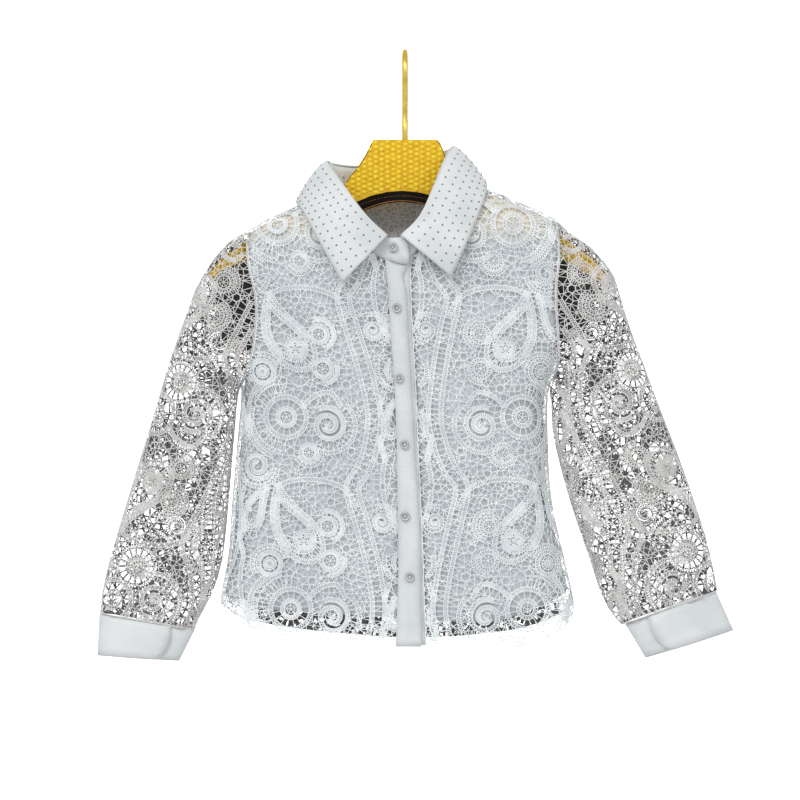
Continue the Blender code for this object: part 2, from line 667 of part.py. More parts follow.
def add_body(materials, collection):
    grid = body_grid()
    for side, name in ((RIGHT, "right"), (LEFT, "left")):
        outline = front_outline(side, FRONT_HEMS[side])
        gaps = lace_gaps(outline, (side * 16.0, -604.0), side, HEM_BAND_TOP, 0.0)
        mesh = panel_mesh("front_" + name, outline, grid, gaps,
                          lambda u, v: body_point(u, v, LACE_LIFT, FRONT))
        add_wall("front_" + name, mesh, LACE_WALL, FRONT, materials["lace"], collection)
        outline = front_outline(side, LINING_HEMS[side])
        mesh = panel_mesh("lining", outline, grid, [], lambda u, v: body_point(u, v, LINING_LIFT, FRONT))
        add_wall("lining_front_" + name, mesh, LINING_WALL, FRONT, materials["lining"], collection)
    outline = back_outline(BACK_HEM)
    gaps = lace_gaps(outline, (-72.0, -604.0), 1, HEM_BAND_TOP, 0.0)
    mesh = panel_mesh("back", outline, grid, gaps, lambda u, v: body_point(u, v, LACE_LIFT, BACK))
    add_wall("back", mesh, LACE_WALL, BACK, materials["lace"], collection)
    mesh = panel_mesh("lining", back_outline(BACK_LINING_HEM), grid, [],
                      lambda u, v: body_point(u, v, LINING_LIFT, BACK))
    add_wall("lining_back", mesh, LINING_WALL, BACK, materials["lining"], collection)


def strip_outline(low_edge, high_edge, top, bottom, step=17.0):
    """A long strip between two edges, down from its two top corners to the bottom."""
    left = [(low_edge(z), z) for z in spaced_values(top[0], bottom, step)]
    right = [(high_edge(z), z) for z in spaced_values(top[1], bottom, step)]
    return left + right[::-1]


def add_plackets(materials, collection):
    top = strip_outline(lambda z: placket_edge("left", z), lambda z: placket_edge("right", z),
                        PLACKET_TOPS, PLACKET_BOTTOM)
    mesh = panel_mesh("placket", top, [], [], lambda u, v: body_point(u, v, PLACKET_LIFT, FRONT))
    add_wall("placket_top", mesh, SATIN_WALL, FRONT, materials["satin"], collection)
    under = strip_outline(lambda z: placket_edge("left", z) + PANEL_UNDER_PLACKET + 2 * SEAM_GAP,
                          lambda z: placket_edge("under", z), UNDER_TOPS, UNDER_BOTTOM)
    mesh = panel_mesh("placket", under, [], [], lambda u, v: body_point(u, v, UNDER_LIFT, FRONT))
    add_wall("placket_under", mesh, SATIN_WALL, FRONT, materials["satin"], collection)


def sleeve_edge(name, down, side):
    """The cloth distance of a sleeve half's outer or inner edge."""
    away = SLEEVE_ARC * math.pi / 2 - SLEEVE_ROLL - SEAM_GAP
    return sleeve_value(name, down, side) + (away if name == "outer" else -away)


def sleeve_outline(side):
    """A sleeve half's outline: armhole, outer edge, cuff seam and underarm edge."""
    arm = [sleeve_cloth(point.x, point.z, side) for point in armhole_edge(side, FRONT)]
    arm = [(u + ARMHOLE_GAP, v) for u, v in arm]
    for i, share in ((0, 1.0), (-1, 1.0), (-2, 0.6)):
        arm[i] = (arm[i][0], arm[i][1] + TIP_GAP * share)
    arm = [(min(max(u, sleeve_edge("inner", v, side)), sleeve_edge("outer", v, side)), v) for u, v in arm]
    low = CUFF_SEAM[side][1][1] - CUFF_GAP
    outer = []
    for down in spaced_values(-2.0, low, 19):
        outer.append((sleeve_edge("outer", down, side), down))
    seam_in, seam_out = CUFF_SEAM[side][0][0], CUFF_SEAM[side][1][0]
    low_in = CUFF_SEAM[side][0][1] - CUFF_GAP
    inner_end = sleeve_edge("inner", low_in, side)
    outer_end = outer[-1][0]
    across = spaced_values(outer_end, inner_end, 5)
    seam = []
    for u in across[1:-1]:
        share = (u - inner_end) / (outer_end - inner_end)
        seam.append((u, cuff_seam(seam_in + (seam_out - seam_in) * share, side) - CUFF_GAP))
    start = arm[-1][1] + 2.0
    inner = [(sleeve_edge("inner", down, side), down) for down in spaced_values(low_in, start, 19)]
    first_down = arm[0][1]
    outer = [(u, v) for u, v in outer if v > first_down + 6.0]
    return arm[:-1] + inner[::-1] + seam[::-1] + outer[::-1]


def sleeve_grid(side):
    grid = []
    for down in spaced_values(10, 366, 22):
        left, right = sleeve_edge("inner", down, side), sleeve_edge("outer", down, side)
        middle = spaced_values(left + 30, right - 30, 24)
        grid += [(u, down) for u in [left + 10, left + 20] + middle + [right - 20, right - 10]]
    for to_seam in (30, 20, 10):
        down = CUFF_SEAM[side][0][1] / 2 + CUFF_SEAM[side][1][1] / 2 - to_seam
        left, right = sleeve_edge("inner", down, side), sleeve_edge("outer", down, side)
        grid += [(u, down) for u in spaced_values(left + 6, right - 6, 5.5)]
    return grid


def add_sleeves(materials, collection):
    for side, name in ((RIGHT, "right"), (LEFT, "left")):
        outline = sleeve_outline(side)
        grid = sleeve_grid(side)
        for face, half in ((FRONT, "front"), (BACK, "back")):
            shift = (-30.0 + 22.0 * face, -12.0 + 30.0 * face)
            gaps = lace_gaps(outline, shift, -face, 0.0, GATHER_TOP)
            label = "sleeve_" + name + "_" + half
            mesh = panel_mesh(label, outline, grid, gaps,
                              lambda u, v: sleeve_point(u, v, 0.0, side, face))
            add_wall(label, mesh, LACE_WALL, face, materials["lace"], collection)


def cuff_point(turn, fall, side):
    """A point of a cuff: turns round it from its outer edge, and its fall from seam to bottom."""
    angle = 2 * math.pi * turn
    out_share = 0.5 + 0.5 * math.cos(angle)
    step = CUFF_STEP * smooth((turn - CUFF_START - 1.0 + CUFF_LAP) / CUFF_LAP)
    round_share = math.copysign(abs(math.sin(angle)) ** 0.65, -math.sin(angle))
    ends = []
    for (in_out, in_down), (out_out, out_down) in (CUFF_SEAM[side], CUFF_BOTTOM[side]):
        ends.append(Vector((in_out, in_down)).lerp(Vector((out_out, out_down)), out_share))
    out, down = ends[0].lerp(ends[1], fall)
    x, z = sleeve_place(out, down, side)
    return Vector((x, round_share * (CUFF_DEPTH + step), z))


def add_cuffs(materials, collection):
    """Bands that start under their own front end, run round by the back and lap over in front."""
    last = CUFF_START + 1.0 + CUFF_LAP
    corner = [(last + turn, fall) for turn, fall in CUFF_END]
    bottom = [(turn, 1.0) for turn in spaced_values(corner[-1][0], CUFF_START, 0.032)][1:]
    top = [(turn, 0.0) for turn in spaced_values(CUFF_START, last, 0.032)][:-1]
    outline = [(turn * CUFF_ROUND, fall * CUFF_HIGH) for turn, fall in corner + bottom + top]
    middle = spaced_values(CUFF_START + 0.03, last - 0.02, 0.04)
    grid = [(turn * CUFF_ROUND, 0.5 * CUFF_HIGH) for turn in middle]
    for side, name in ((RIGHT, "right"), (LEFT, "left")):
        mesh = panel_mesh("cuff_" + name, outline, grid, [],
                          lambda u, v: cuff_point(u / CUFF_ROUND, v / CUFF_HIGH, side))
        add_wall("cuff_" + name, mesh, SATIN_WALL, FRONT, materials["satin"], collection)


def add_button(name, centre, normal, materials, collection):
    """A domed button with a raised rim."""
    profile = [(0.0, 0.0), (BUTTON_RADIUS - 0.4, 0.0), (BUTTON_RADIUS, 0.5), (BUTTON_RADIUS, 1.6),
               (BUTTON_RADIUS - 0.7, BUTTON_THICK), (BUTTON_RADIUS - 1.6, 2.0), (0.0, 1.7)]
    mesh = bpy.data.meshes.new(name)
    turned = bmesh.new()
    segments = 10
    rings = []
    for radius, height in profile:
        if radius == 0.0:
            rings.append([turned.verts.new((0, 0, height * MM))])
            continue
        rings.append([turned.verts.new((radius * math.cos(2 * math.pi * k / segments) * MM,
                                        radius * math.sin(2 * math.pi * k / segments) * MM, height * MM))
                      for k in range(segments)])
    for lower, upper in zip(rings, rings[1:]):
        for k in range(segments):
            a, b = lower[k % len(lower)], lower[(k + 1) % len(lower)]
            c, d = upper[(k + 1) % len(upper)], upper[k % len(upper)]
            turned.faces.new([v for i, v in enumerate((a, b, c, d)) if v not in (a, b, c, d)[:i]])
    bmesh.ops.recalc_face_normals(turned, faces=turned.faces)
    turned.to_mesh(mesh)
    turned.free()
    thing = add_object(name, mesh, materials["button"], collection)
    thing.location = centre * MM
    thing.rotation_euler = Vector(normal).to_track_quat("Z", "Y").to_euler()


def surface_normal(place, u, v, face):
    step = 2.0
    across = place(u + step, v) - place(u - step, v)
    along = place(u, v + step) - place(u, v - step)
    normal = across.cross(along).normalized()
    return normal if normal.y * face > 0 else -normal


def add_buttons(materials, collection):
    def on_placket(u, v):
        return body_point(u, v, PLACKET_LIFT + SATIN_WALL / 2, FRONT)

    for i, (up, across) in enumerate(BUTTON_ROWS):
        normal = surface_normal(on_placket, across, up, FRONT)
        centre = on_placket(across, up) + normal * BUTTON_SEAT
        add_button("button_" + str(i + 2), centre, normal, materials, collection)
    x, z = COLLAR_BUTTON
    normal = Vector((0.0, -1.0, 0.08)).normalized()
    depth = body_depth(x, z, TAB_LIFT + COLLAR_WALL / 2, FRONT)
    centre = Vector((x, -depth - COLLAR_BUTTON_SEAT, z))
    add_button("button_1", centre, normal, materials, collection)


def collar_station(share):
    """All columns of the collar's table at a share of the way round, on smooth curves."""
    rows = [(float(i),) + row for i, row in enumerate(COLLAR_ROWS)]
    at = share * (len(rows) - 1)
    values = [read_rows(rows, at, k + 2) for k in range(len(COLLAR_COLUMNS) - 1)]
    face = FRONT if values[3] < 0 else BACK
    return face, values


def collar_lines(share):
    face, (seam_x, seam_z, fold_x, fold_y, fold_z, edge_x, edge_y, edge_z) = collar_station(share)
    seam = Vector((seam_x, face * body_depth(seam_x, seam_z, STAND_LIFT, face), seam_z))
    return seam, Vector((fold_x, fold_y, fold_z)), Vector((edge_x, edge_y, edge_z))


def outward(fold):
    """The level direction away from the middle of the neck."""
    return Vector((fold.x - COLLAR_MIDDLE_X, fold.y * 1.6, 0.0)).normalized()


def leaf_point(share, fall):
    seam, fold, edge = collar_lines(share)
    point = fold.lerp(edge, fall)
    point += outward(fold) * LEAF_BULGE * math.sqrt(fall) * (1.0 - fall)
    point.z += FOLD_RISE * (1.0 - fall)
    face = FRONT if point.y < 0 else BACK
    depth = body_depth(point.x, point.z, LEAF_LIFT + (LEAF_EDGE_LIFT - LEAF_LIFT) * fall, face)
    point.y = face * max(abs(point.y), depth)
    return point


def stand_lines(share):
    seam, fold, _ = collar_lines(share)
    top = fold - outward(fold) * STAND_INSET
    top.z -= FOLD_RISE
    return seam, top


def stand_end(line, end, lift, share):
    """A place on the way from the stand's ring to one of its two lapped front ends."""
    rows = []
    for start, (x, z) in zip(line, end):
        way = start.lerp(Vector((x, start.y, z)), share)
        settled = smooth(share * 2.5)
        depth = body_depth(way.x, way.z, STAND_LIFT + (lift - STAND_LIFT) * settled, FRONT)
        rows.append(Vector((way.x, start.y * (1.0 - settled) - depth * settled, way.z)))
    return rows


def stand_point(along, rise):
    """A point of the stand: before 0 is its top tab, and past its length its under end."""
    if along < 0.0:
        seam, top = stand_end(stand_lines(0.0), TAB_END, TAB_LIFT, -along / TAB_LONG)
    elif along > STAND_LONG:
        share = (along - STAND_LONG) / UNDER_END_LONG
        seam, top = stand_end(stand_lines(1.0), UNDER_END, UNDER_END_LIFT, share)
    else:
        seam, top = stand_lines(along / STAND_LONG)
    return seam.lerp(top, rise / STAND_HIGH)


def grid_mesh(name, rows):
    """An open sheet through rows of points of one length."""
    count = len(rows[0])
    faces = [(r * count + k, r * count + k + 1, (r + 1) * count + k + 1, (r + 1) * count + k)
             for r in range(len(rows) - 1) for k in range(count - 1)]
    mesh = bpy.data.meshes.new(name)
    mesh.from_pydata([point * MM for row in rows for point in row], [], faces)
    return mesh


def add_collar(materials, collection):
    shares = [k / COLLAR_SPLIT for k in range(COLLAR_SPLIT + 1)]
    rows = [[leaf_point(share, fall) for share in shares] for fall in LEAF_FALLS]
    mesh = grid_mesh("collar_leaf", rows)
    add_wall("collar_leaf", mesh, COLLAR_WALL, FRONT, materials["satin"], collection)
    corner = [(u - TAB_LONG, v) for u, v in TAB_CORNER]
    end = STAND_LONG + UNDER_END_LONG
    along_top = spaced_values(-TAB_LONG + 16.0, end, 12)
    along_low = spaced_values(end, -TAB_LONG + 16.0, 12)
    outline = corner + [(u, STAND_HIGH) for u in along_top] + [(u, STAND_LOW) for u in along_low]
    grid = [(u, STAND_HIGH / 2) for u in spaced_values(-TAB_LONG + 10.0, end - 8.0, 12)]
    mesh = panel_mesh("collar_stand", outline, grid, [], stand_point)
    add_wall("collar_stand", mesh, COLLAR_WALL, FRONT, materials["satin"], collection)


def flat_piece(name, outline, half, material, collection):
    """A flat outline in the XZ plane, given a thickness both ways."""
    curve = bpy.data.curves.new(name, "CURVE")
    curve.dimensions = "2D"
    curve.fill_mode = "BOTH"
    curve.extrude = half * MM
    spline = curve.splines.new("POLY")
    spline.points.add(len(outline) - 1)
    for point, (x, z) in zip(spline.points, outline):
        point.co = (x * MM, z * MM, 0.0, 1.0)
    spline.use_cyclic_u = True
    thing = bpy.data.objects.new(name, curve)
    thing.rotation_euler = (math.pi / 2, 0.0, 0.0)
    collection.objects.link(thing)
    curve.materials.append(material)


def add_hanger(materials, collection):
    top = curve_through(BOARD_TOP[RIGHT], 20) + curve_through(BOARD_TOP[LEFT], 20)
    lower = curve_through(BOARD_LOWER, 20)
    flat_piece("hanger_board", top + lower, BOARD_HALF, materials["woven_yellow"], collection)
    upper = [(x, z - CORE_GAP) for x, z in lower[::-1]]
    start, end = CORE_LOWER[0][0], CORE_LOWER[-1][0]
    upper = [(x, z) for x, z in upper if start < x < end]
    under = curve_through(CORE_LOWER, 20)
    flat_piece("hanger_core", upper + under[::-1], CORE_HALF, materials["black"], collection)
    bend = [(HOOK_BEND * math.cos(a), HOOK_RADIUS - HOOK_BEND + HOOK_BEND * math.sin(a))
            for a in (math.pi * k / 12 for k in range(13))]
    route = curve_through([(-HOOK_BEND, HOOK_TIP_Z)] + bend[::-1] + list(HOOK_STEM), 9)
    curve = bpy.data.curves.new("hook", "CURVE")
    curve.dimensions = "3D"
    curve.bevel_depth = HOOK_RADIUS * MM
    curve.bevel_resolution = 1
    curve.use_fill_caps = True
    spline = curve.splines.new("POLY")
    spline.points.add(len(route) - 1)
    for point, (y, z) in zip(spline.points, route):
        point.co = (0.0, y * MM, z * MM, 1.0)
    hook = bpy.data.objects.new("hook", curve)
    collection.objects.link(hook)
    curve.materials.append(materials["gold"])


def make_materials():
    return {
        "lace": make_material("lace", (0.72, 0.75, 0.77), 0.75, sheen=0.2),
        "lining": make_material("lining", (0.46, 0.50, 0.52), 0.8),
        "satin": make_material("satin", (0.80, 0.83, 0.84), 0.45, sheen=0.3),
        "button": make_material("button", (0.80, 0.81, 0.82), 0.2),
        "woven_yellow": make_material("woven_yellow", (0.76, 0.47, 0.01), 0.6),
        "black": make_material("black", (0.013, 0.013, 0.012), 0.5),
        "gold": make_material("gold", (0.90, 0.66, 0.16), 0.3, metallic=1.0),
    }


STEPS = {(side, face): armhole_steps(side, face) for side in (RIGHT, LEFT) for face in (FRONT, BACK)}


def main():
    clear_scene()
    collection = new_collection("lace_shirt_on_hanger")
    materials = make_materials()
    add_body(materials, collection)
    add_plackets(materials, collection)
    add_sleeves(materials, collection)
    add_cuffs(materials, collection)
    add_collar(materials, collection)
    add_buttons(materials, collection)
    add_hanger(materials, collection)


main()
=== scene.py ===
"""The finished look of the child's lace shirt on its hanger, over its CAD frame.

Every cloth piece is drawn flat in cloth distances and laid on the garment's form. Sizes are in
millimetres and are scaled to metres where a mesh is made. The lace is real thread: tapes of two
cords with stitches between them, and a net of threads that joins the tapes.
"""
import math

import bmesh
import bpy
import numpy as np
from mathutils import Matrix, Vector
from mathutils.geometry import delaunay_2d_cdt

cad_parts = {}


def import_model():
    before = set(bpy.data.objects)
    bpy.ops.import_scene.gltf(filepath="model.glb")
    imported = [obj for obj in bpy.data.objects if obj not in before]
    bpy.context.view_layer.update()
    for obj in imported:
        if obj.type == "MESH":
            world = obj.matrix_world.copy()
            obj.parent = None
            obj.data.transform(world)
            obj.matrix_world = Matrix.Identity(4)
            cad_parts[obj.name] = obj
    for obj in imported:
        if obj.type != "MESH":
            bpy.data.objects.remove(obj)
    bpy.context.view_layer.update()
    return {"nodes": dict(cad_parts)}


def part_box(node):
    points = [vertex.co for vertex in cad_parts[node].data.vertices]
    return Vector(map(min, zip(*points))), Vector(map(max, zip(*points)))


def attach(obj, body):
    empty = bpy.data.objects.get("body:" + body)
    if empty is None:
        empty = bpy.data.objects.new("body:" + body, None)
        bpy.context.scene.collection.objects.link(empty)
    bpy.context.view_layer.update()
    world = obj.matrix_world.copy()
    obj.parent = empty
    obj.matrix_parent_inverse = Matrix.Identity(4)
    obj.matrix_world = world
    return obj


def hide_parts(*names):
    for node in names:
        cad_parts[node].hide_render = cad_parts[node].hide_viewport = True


MM = 0.001

# Walls and gaps
LINING_WALL = 1.0
SATIN_WALL = 2.0
COLLAR_WALL = 1.6
SEAM_GAP = 0.3
NECK_TRIM = -1.2
BACK_NECK_TRIM = 2.8
CUFF_GAP = 1.0
LINING_LIFT = -1.6
LACE_LIFT = 2.1
UNDER_LIFT = 1.2
PLACKET_LIFT = 4.2
STAND_LIFT = 2.4
LEAF_LIFT = 8.0
LEAF_EDGE_LIFT = 5.2

# The body: a flattened tube that rolls round at its sides and over the shoulders
SIDE_ROLL = 32.0
SIDE_ARC = 33.5
RIDGE_DROP = 45.0
RIDGE_ARC = 62.8
FRONT_CROWN = 5.0
BACK_CROWN = 3.0
FRONT, BACK = -1, 1
RIGHT, LEFT = -1, 1
SIDE_NAMES = {RIGHT: "right", LEFT: "left"}

# up: height; right, left: the two side edges; centre: the button line; front, back: depths
BODY_COLUMNS = ("up", "right", "left", "centre", "front", "back")
BODY_ROWS = (
    (-110, -186, 180, -12.0, 34, 32),
    (-270, -185, 177, -6.0, 35, 32),
    (-302, -176, 161, -4.0, 36, 32),
    (-332, -162, 142, -2.0, 36, 32),
    (-375, -164, 140, 0.0, 35, 31),
    (-445, -170, 144, 2.5, 34, 30),
    (-500, -174, 156, 4.0, 34, 31),
    (-545, -182, 166, 4.0, 35, 32),
    (-610, -188, 174, 4.0, 36, 33),
)

# The shoulder line's height, by the distance across from the button line
RIDGE_COLUMNS = ("across", "up")
RIDGE_ROWS = (
    (-170, -192), (-147, -177.5), (-123, -164.5), (-96, -152.5), (-55, -134), (0, -120),
    (55, -126), (97, -138), (128, -151), (158, -165), (175, -178),
)

# Edges that are drawn as they show from the front: x, z
ARMHOLES = {
    RIGHT: ((-157, -170), (-155, -209), (-148, -240), (-147, -264), (-150, -294), (-155, -313),
            (-162, -331)),
    LEFT: ((151, -160), (152, -203), (149, -237), (150, -265), (151, -294), (149, -316), (142, -334)),
}
NECKLINES = {
    RIGHT: ((-71, -134), (-66, -152), (-52, -174), (-30, -200), (-19, -206)),
    LEFT: ((50, -124), (42, -148), (26, -174), (8, -201), (2, -212)),
}
BACK_NECKLINE = ((-71, -134), (-62, -137), (-44, -141), (-12, -142), (22, -135), (40, -130), (50, -124))
FRONT_HEMS = {
    RIGHT: ((-9, -587), (-60, -580), (-80, -583), (-128, -575), (-155, -569), (-168, -563),
            (-176, -556), (-182, -545)),
    LEFT: ((20, -588), (35, -585.5), (63, -580), (92, -586), (106, -589), (122, -587), (147, -577),
           (164, -562), (166, -548)),
}
BACK_HEM = ((-182, -545), (-170, -560), (-130, -572), (-60, -580), (0, -584), (60, -582), (120, -574),
            (155, -560), (166, -548))
LINING_HEMS = {
    RIGHT: ((-9, -561), (-85, -556), (-150, -551), (-182, -538)),
    LEFT: ((20, -563), (85, -565), (115, -556), (145, -545), (166, -534)),
}
BACK_LINING_HEM = ((-182, -538), (-120, -553), (0, -560), (110, -555), (166, -534))

# The button strip's two edges, and the right edge of the strip under it, across from the centre
PLACKET_COLUMNS = ("up", "left", "right", "under")
PLACKET_ROWS = (
    (-200, -11.5, 10.0, 13.0), (-214, -11.0, 9.5, 13.0), (-222, -10.3, 5.2, 12.8),
    (-236, -9.4, 8.2, 12.5), (-300, -8.6, 8.3, 12.2), (-385, -8.8, 8.3, 11.6),
    (-457, -10.3, 10.4, 12.6), (-520, -10.8, 11.0, 13.6), (-600, -13.6, 12.8, 16.8),
)
PANEL_UNDER_PLACKET = 4.0
# The heights of each strip's two top corners, and of its bottom
PLACKET_TOPS = (-199.5, -208.5)
PLACKET_BOTTOM = -589.0
UNDER_TOPS = (-200.5, -204.5)
UNDER_BOTTOM = -587.5
STRIP_STEP = 6.0
STRIP_SEAM = 1.6

# The buttons, a little lower than wide. The profile runs from the middle of the front over the rim
# to the back: share of the radius, and height over the back
BUTTON_RADIUS = 4.65
BUTTON_THICK = 2.6
BUTTON_OVAL = 0.99
BUTTON_SIDES = 32
BUTTON_PROFILE = (
    (0.0, 1.45), (0.22, 1.5), (0.5, 1.72), (0.66, 1.95), (0.76, 2.45), (0.86, 2.62), (0.95, 2.3),
    (1.0, 1.6), (1.0, 0.6), (0.92, 0.1), (0.0, 0.0),
)
# The profile's rings that are painted as rim
RIM_RINGS = (1, 2, 5, 6, 7)

# The sleeves, each in its own leaning frame: out from the shoulder tip, and down along it
SLEEVE_TIP = {RIGHT: (-157.0, -174.0), LEFT: (151.0, -166.0)}
SLEEVE_LEAN = {RIGHT: math.radians(13.0), LEFT: math.radians(16.5)}
SLEEVE_ROLL = 26.0
SLEEVE_ARC = 26.5
SLEEVE_BLEND = 38.0
LEAST_DEPTH = 4.0
ARMHOLE_GAP = 1.1
TIP_GAP = 2.5
SLEEVE_COLUMNS = ("down", "inner", "outer", "depth")
SLEEVE_ROWS = {
    RIGHT: (
        (-12, -70, -12, 34), (0, -70, 0, 34), (14, -70, 13, 34), (29, -70, 22.5, 34),
        (43, -70, 28.6, 34), (69, -68, 36.8, 34), (100, -60, 40.8, 32), (130, -42, 44.4, 30),
        (154, -28, 46.6, 28), (199, -32, 49.4, 26), (268, -41.8, 54.4, 25), (330, -49, 58.6, 25),
        (364, -46.4, 60.2, 24), (390, -39.5, 59.4, 19), (410, -37, 57, 14),
    ),
    LEFT: (
        (-12, -95, -12, 34), (0, -95, 0, 34), (17, -95, 10.5, 34), (33, -95, 24, 34),
        (48, -95, 32, 34), (69, -92, 39.4, 34), (100, -86, 39.6, 32), (132, -68, 40.6, 30),
        (159, -54.5, 42.6, 28), (204, -63, 45.6, 26), (269, -65.6, 50.8, 25), (342, -63.2, 53.4, 25),
        (370, -62.2, 52.2, 24), (393, -57.4, 50.2, 19), (412, -48, 47.8, 14),
    ),
}

# The cuffs, in the same frames: out and down, for the seam's and the bottom's two ends
CUFF_SEAM = {RIGHT: ((-37.5, 402.4), (57.2, 408.4)), LEFT: ((-47.3, 406.3), (47.4, 400.2))}
CUFF_BOTTOM = {RIGHT: ((-29.5, 435.7), (50.0, 448.8)), LEFT: ((-37.5, 443.7), (53.0, 442.4))}
CUFF_DEPTH = 14.0
CUFF_STEP = 3.0
# Turns round a cuff: where it starts under its front end, how far it laps, and its cloth sizes
CUFF_START = 0.237
CUFF_LAP = 0.10
CUFF_ROUND = 200.0
CUFF_HIGH = 40.0
CUFF_END = ((0.0, 0.0), (0.018, 0.35), (0.020, 0.6), (0.008, 0.85), (-0.012, 1.0))
# The two runs of stitching round a cuff, as shares of its height
CUFF_SEAM_FALLS = (0.055, 0.93)
GATHER_COUNT = 7
GATHER_HEIGHT = 1.6
GATHER_REACH = 34.0

# Soft folds: x and z of the middle, half length, half width, height, and lean from upright
BODY_FOLDS = {
    FRONT: (
        (-142, -318, 36, 15, 3.5, -48), (-120, -352, 44, 18, 2.6, -40), (-134, -470, 80, 24, 2.6, -6),
        (-70, -500, 90, 26, 2.4, 4), (122, -330, 40, 16, 3.0, 46), (60, -480, 90, 26, 2.6, -3),
        (112, -500, 85, 24, 3.0, 8), (70, -300, 60, 24, 1.8, 12),
    ),
    BACK: (
        (-120, -340, 60, 22, 3.0, -35), (-95, -480, 110, 28, 3.2, -4), (-20, -500, 110, 30, 2.6, 3),
        (60, -490, 120, 28, 3.4, 2), (118, -350, 60, 22, 3.0, 35), (125, -500, 90, 26, 2.6, 6),
        (10, -240, 70, 34, 2.0, 0),
    ),
}
# The same for the sleeves, in their own frames
SLEEVE_FOLDS = {
    FRONT: (
        (8, 120, 95, 12, 5.0, -4), (-18, 196, 62, 13, 4.4, 28), (24, 250, 74, 14, 3.8, -8),
        (-12, 316, 62, 14, 4.2, 12), (32, 352, 52, 12, 4.0, -10), (4, 385, 40, 11, 3.4, 0),
    ),
    BACK: (
        (6, 130, 90, 13, 4.6, 6), (-14, 215, 66, 14, 4.2, 24), (22, 280, 74, 14, 3.6, -12),
        (-8, 345, 56, 13, 4.0, 8), (34, 372, 44, 12, 3.6, -6),
    ),
}

# The lace's repeat, and its largest gaps: across, up, radius
REPEAT_WIDE = 144.0
REPEAT_HIGH = 190.0
GAP_SPOTS = (
    (98, 18, 4.6), (124, 34, 4.2), (128, 66, 4.4), (80, 80, 4.6), (102, 88, 4.0), (40, 84, 4.6),
    (38, 18, 4.2), (46, 112, 4.4), (60, 158, 4.6), (86, 168, 4.2), (138, 126, 4.4), (64, 186, 4.0),
    (14, 172, 4.4),
)
GAP_EDGE = 9.0
# Gaps are cut above the hem's own band, and above the gathers at the cuff
HEM_BAND_TOP = -566.0
GATHER_TOP = 358.0
# How far the inner points of a smooth cloth stay from its edge, and the spacing of their grids
EDGE_CLEAR = 5.0
LINING_GRID = 11.0
STRIP_GRID = 5.0
STAND_GRID = 6.0
CUFF_GRID = 6.0
# The distance between a grid's staggered rows, as a share of its spacing
ROW_SHARE = 0.87

# The collar: x, z on the neck seam; x, y, z on the fold; x, y, z on the outer edge
COLLAR_COLUMNS = ("face", "seam_x", "seam_z", "fold_x", "fold_y", "fold_z", "edge_x", "edge_y", "edge_z")
COLLAR_ROWS = (
    (FRONT, -26, -203, -17, -47, -183.5, -62, -52, -229),
    (FRONT, -38, -191.5, -36, -42, -165.5, -76, -49, -204),
    (FRONT, -53, -172, -50, -33, -148, -90, -42, -179),
    (FRONT, -66, -150, -64, -18, -128, -101, -26, -158),
    (FRONT, -71, -134, -77, 0, -108, -109, 0, -147),
    (BACK, -63, -136, -71, 15, -109, -104, 25, -151),
    (BACK, -45, -140, -49, 28, -110.5, -80, 38, -154),
    (BACK, -12, -141, -13, 33, -107, -12, 44, -152),
    (BACK, 24, -134, 28, 28, -99, 58, 38, -145),
    (BACK, 42, -128, 43, 15, -95, 78, 25, -137),
    (FRONT, 50, -124, 47.5, 0, -92.5, 82, 0, -129),
    (FRONT, 44, -144, 39, -19, -108, 79, -27, -144),
    (FRONT, 32, -165, 28, -33, -135, 69, -43, -171),
    (FRONT, 21, -182, 14, -42, -164, 58, -50, -196),
    (FRONT, 8, -201, -4.5, -47, -183.5, 45.5, -53, -223.5),
)
COLLAR_MIDDLE_X = -13.0
LEAF_BULGE = 13.0
LEAF_TROUGH = 1.8
LEAF_STATIONS = 150
# The falls nearest the fold, where the leaf turns most
FOLD_FALLS = (0.0, 0.03, 0.08, 0.15)
LEAF_SEAM_ENDS = (0.012, 0.988)
LEAF_SEAM_FALL = 0.945
FOLD_RISE = 1.2
STAND_INSET = 2.4

# The button tab of the stand, across the button line: x, z along its lower and its upper edge
TAB_LONG = 30.0
TAB_END = ((4.4, -213.6), (4.4, -184.0))
UNDER_END = ((-11.0, -209.0), (-14.5, -184.5))
UNDER_END_LONG = 17.0
TAB_LIFT = 7.0
UNDER_END_LIFT = 3.4
STAND_HIGH = 26.0
STAND_LONG = 330.0
# The tab's rounded end: along from its tip, up from the stand's seam
TAB_CORNER = ((5.0, 1.2), (1.4, 2.8), (0.2, 6.5), (0.0, 12.5), (0.9, 18.0), (3.6, 22.6), (9.0, 25.4))
# The stitching round the tab, in the same measures
TAB_SEAM = ((22.0, 3.4), (8.0, 3.4), (3.4, 6.0), (2.2, 12.5), (3.4, 19.0), (8.0, 22.6), (18.0, 23.4))

# The studs: rows over the leaf, spacing, heights up the stand, and each dome's rings as reach and height
STUD_ROWS = 6
STUD_STEP = 8.6
STAND_STUD_RISES = (7.5, 15.5)
STUD_RADIUS = 1.0
STUD_SIDES = 7
STUD_RINGS = ((1.0, 0.0), (0.72, 0.55))
STUD_TOP = 0.75

# Stitches and woven dashes: radius, length and gap
SEWING = (0.22, 2.0, 0.9)
COLLAR_SEWING = (0.2, 2.0, 0.9)
CORE_DOTS = (0.35, 0.8, 1.6)
CORE_LINE = (0.4, 5.0, 0.1)
BOARD_LINE = (0.5, 5.0, 0.1)
FIRST_STITCH = 0.6

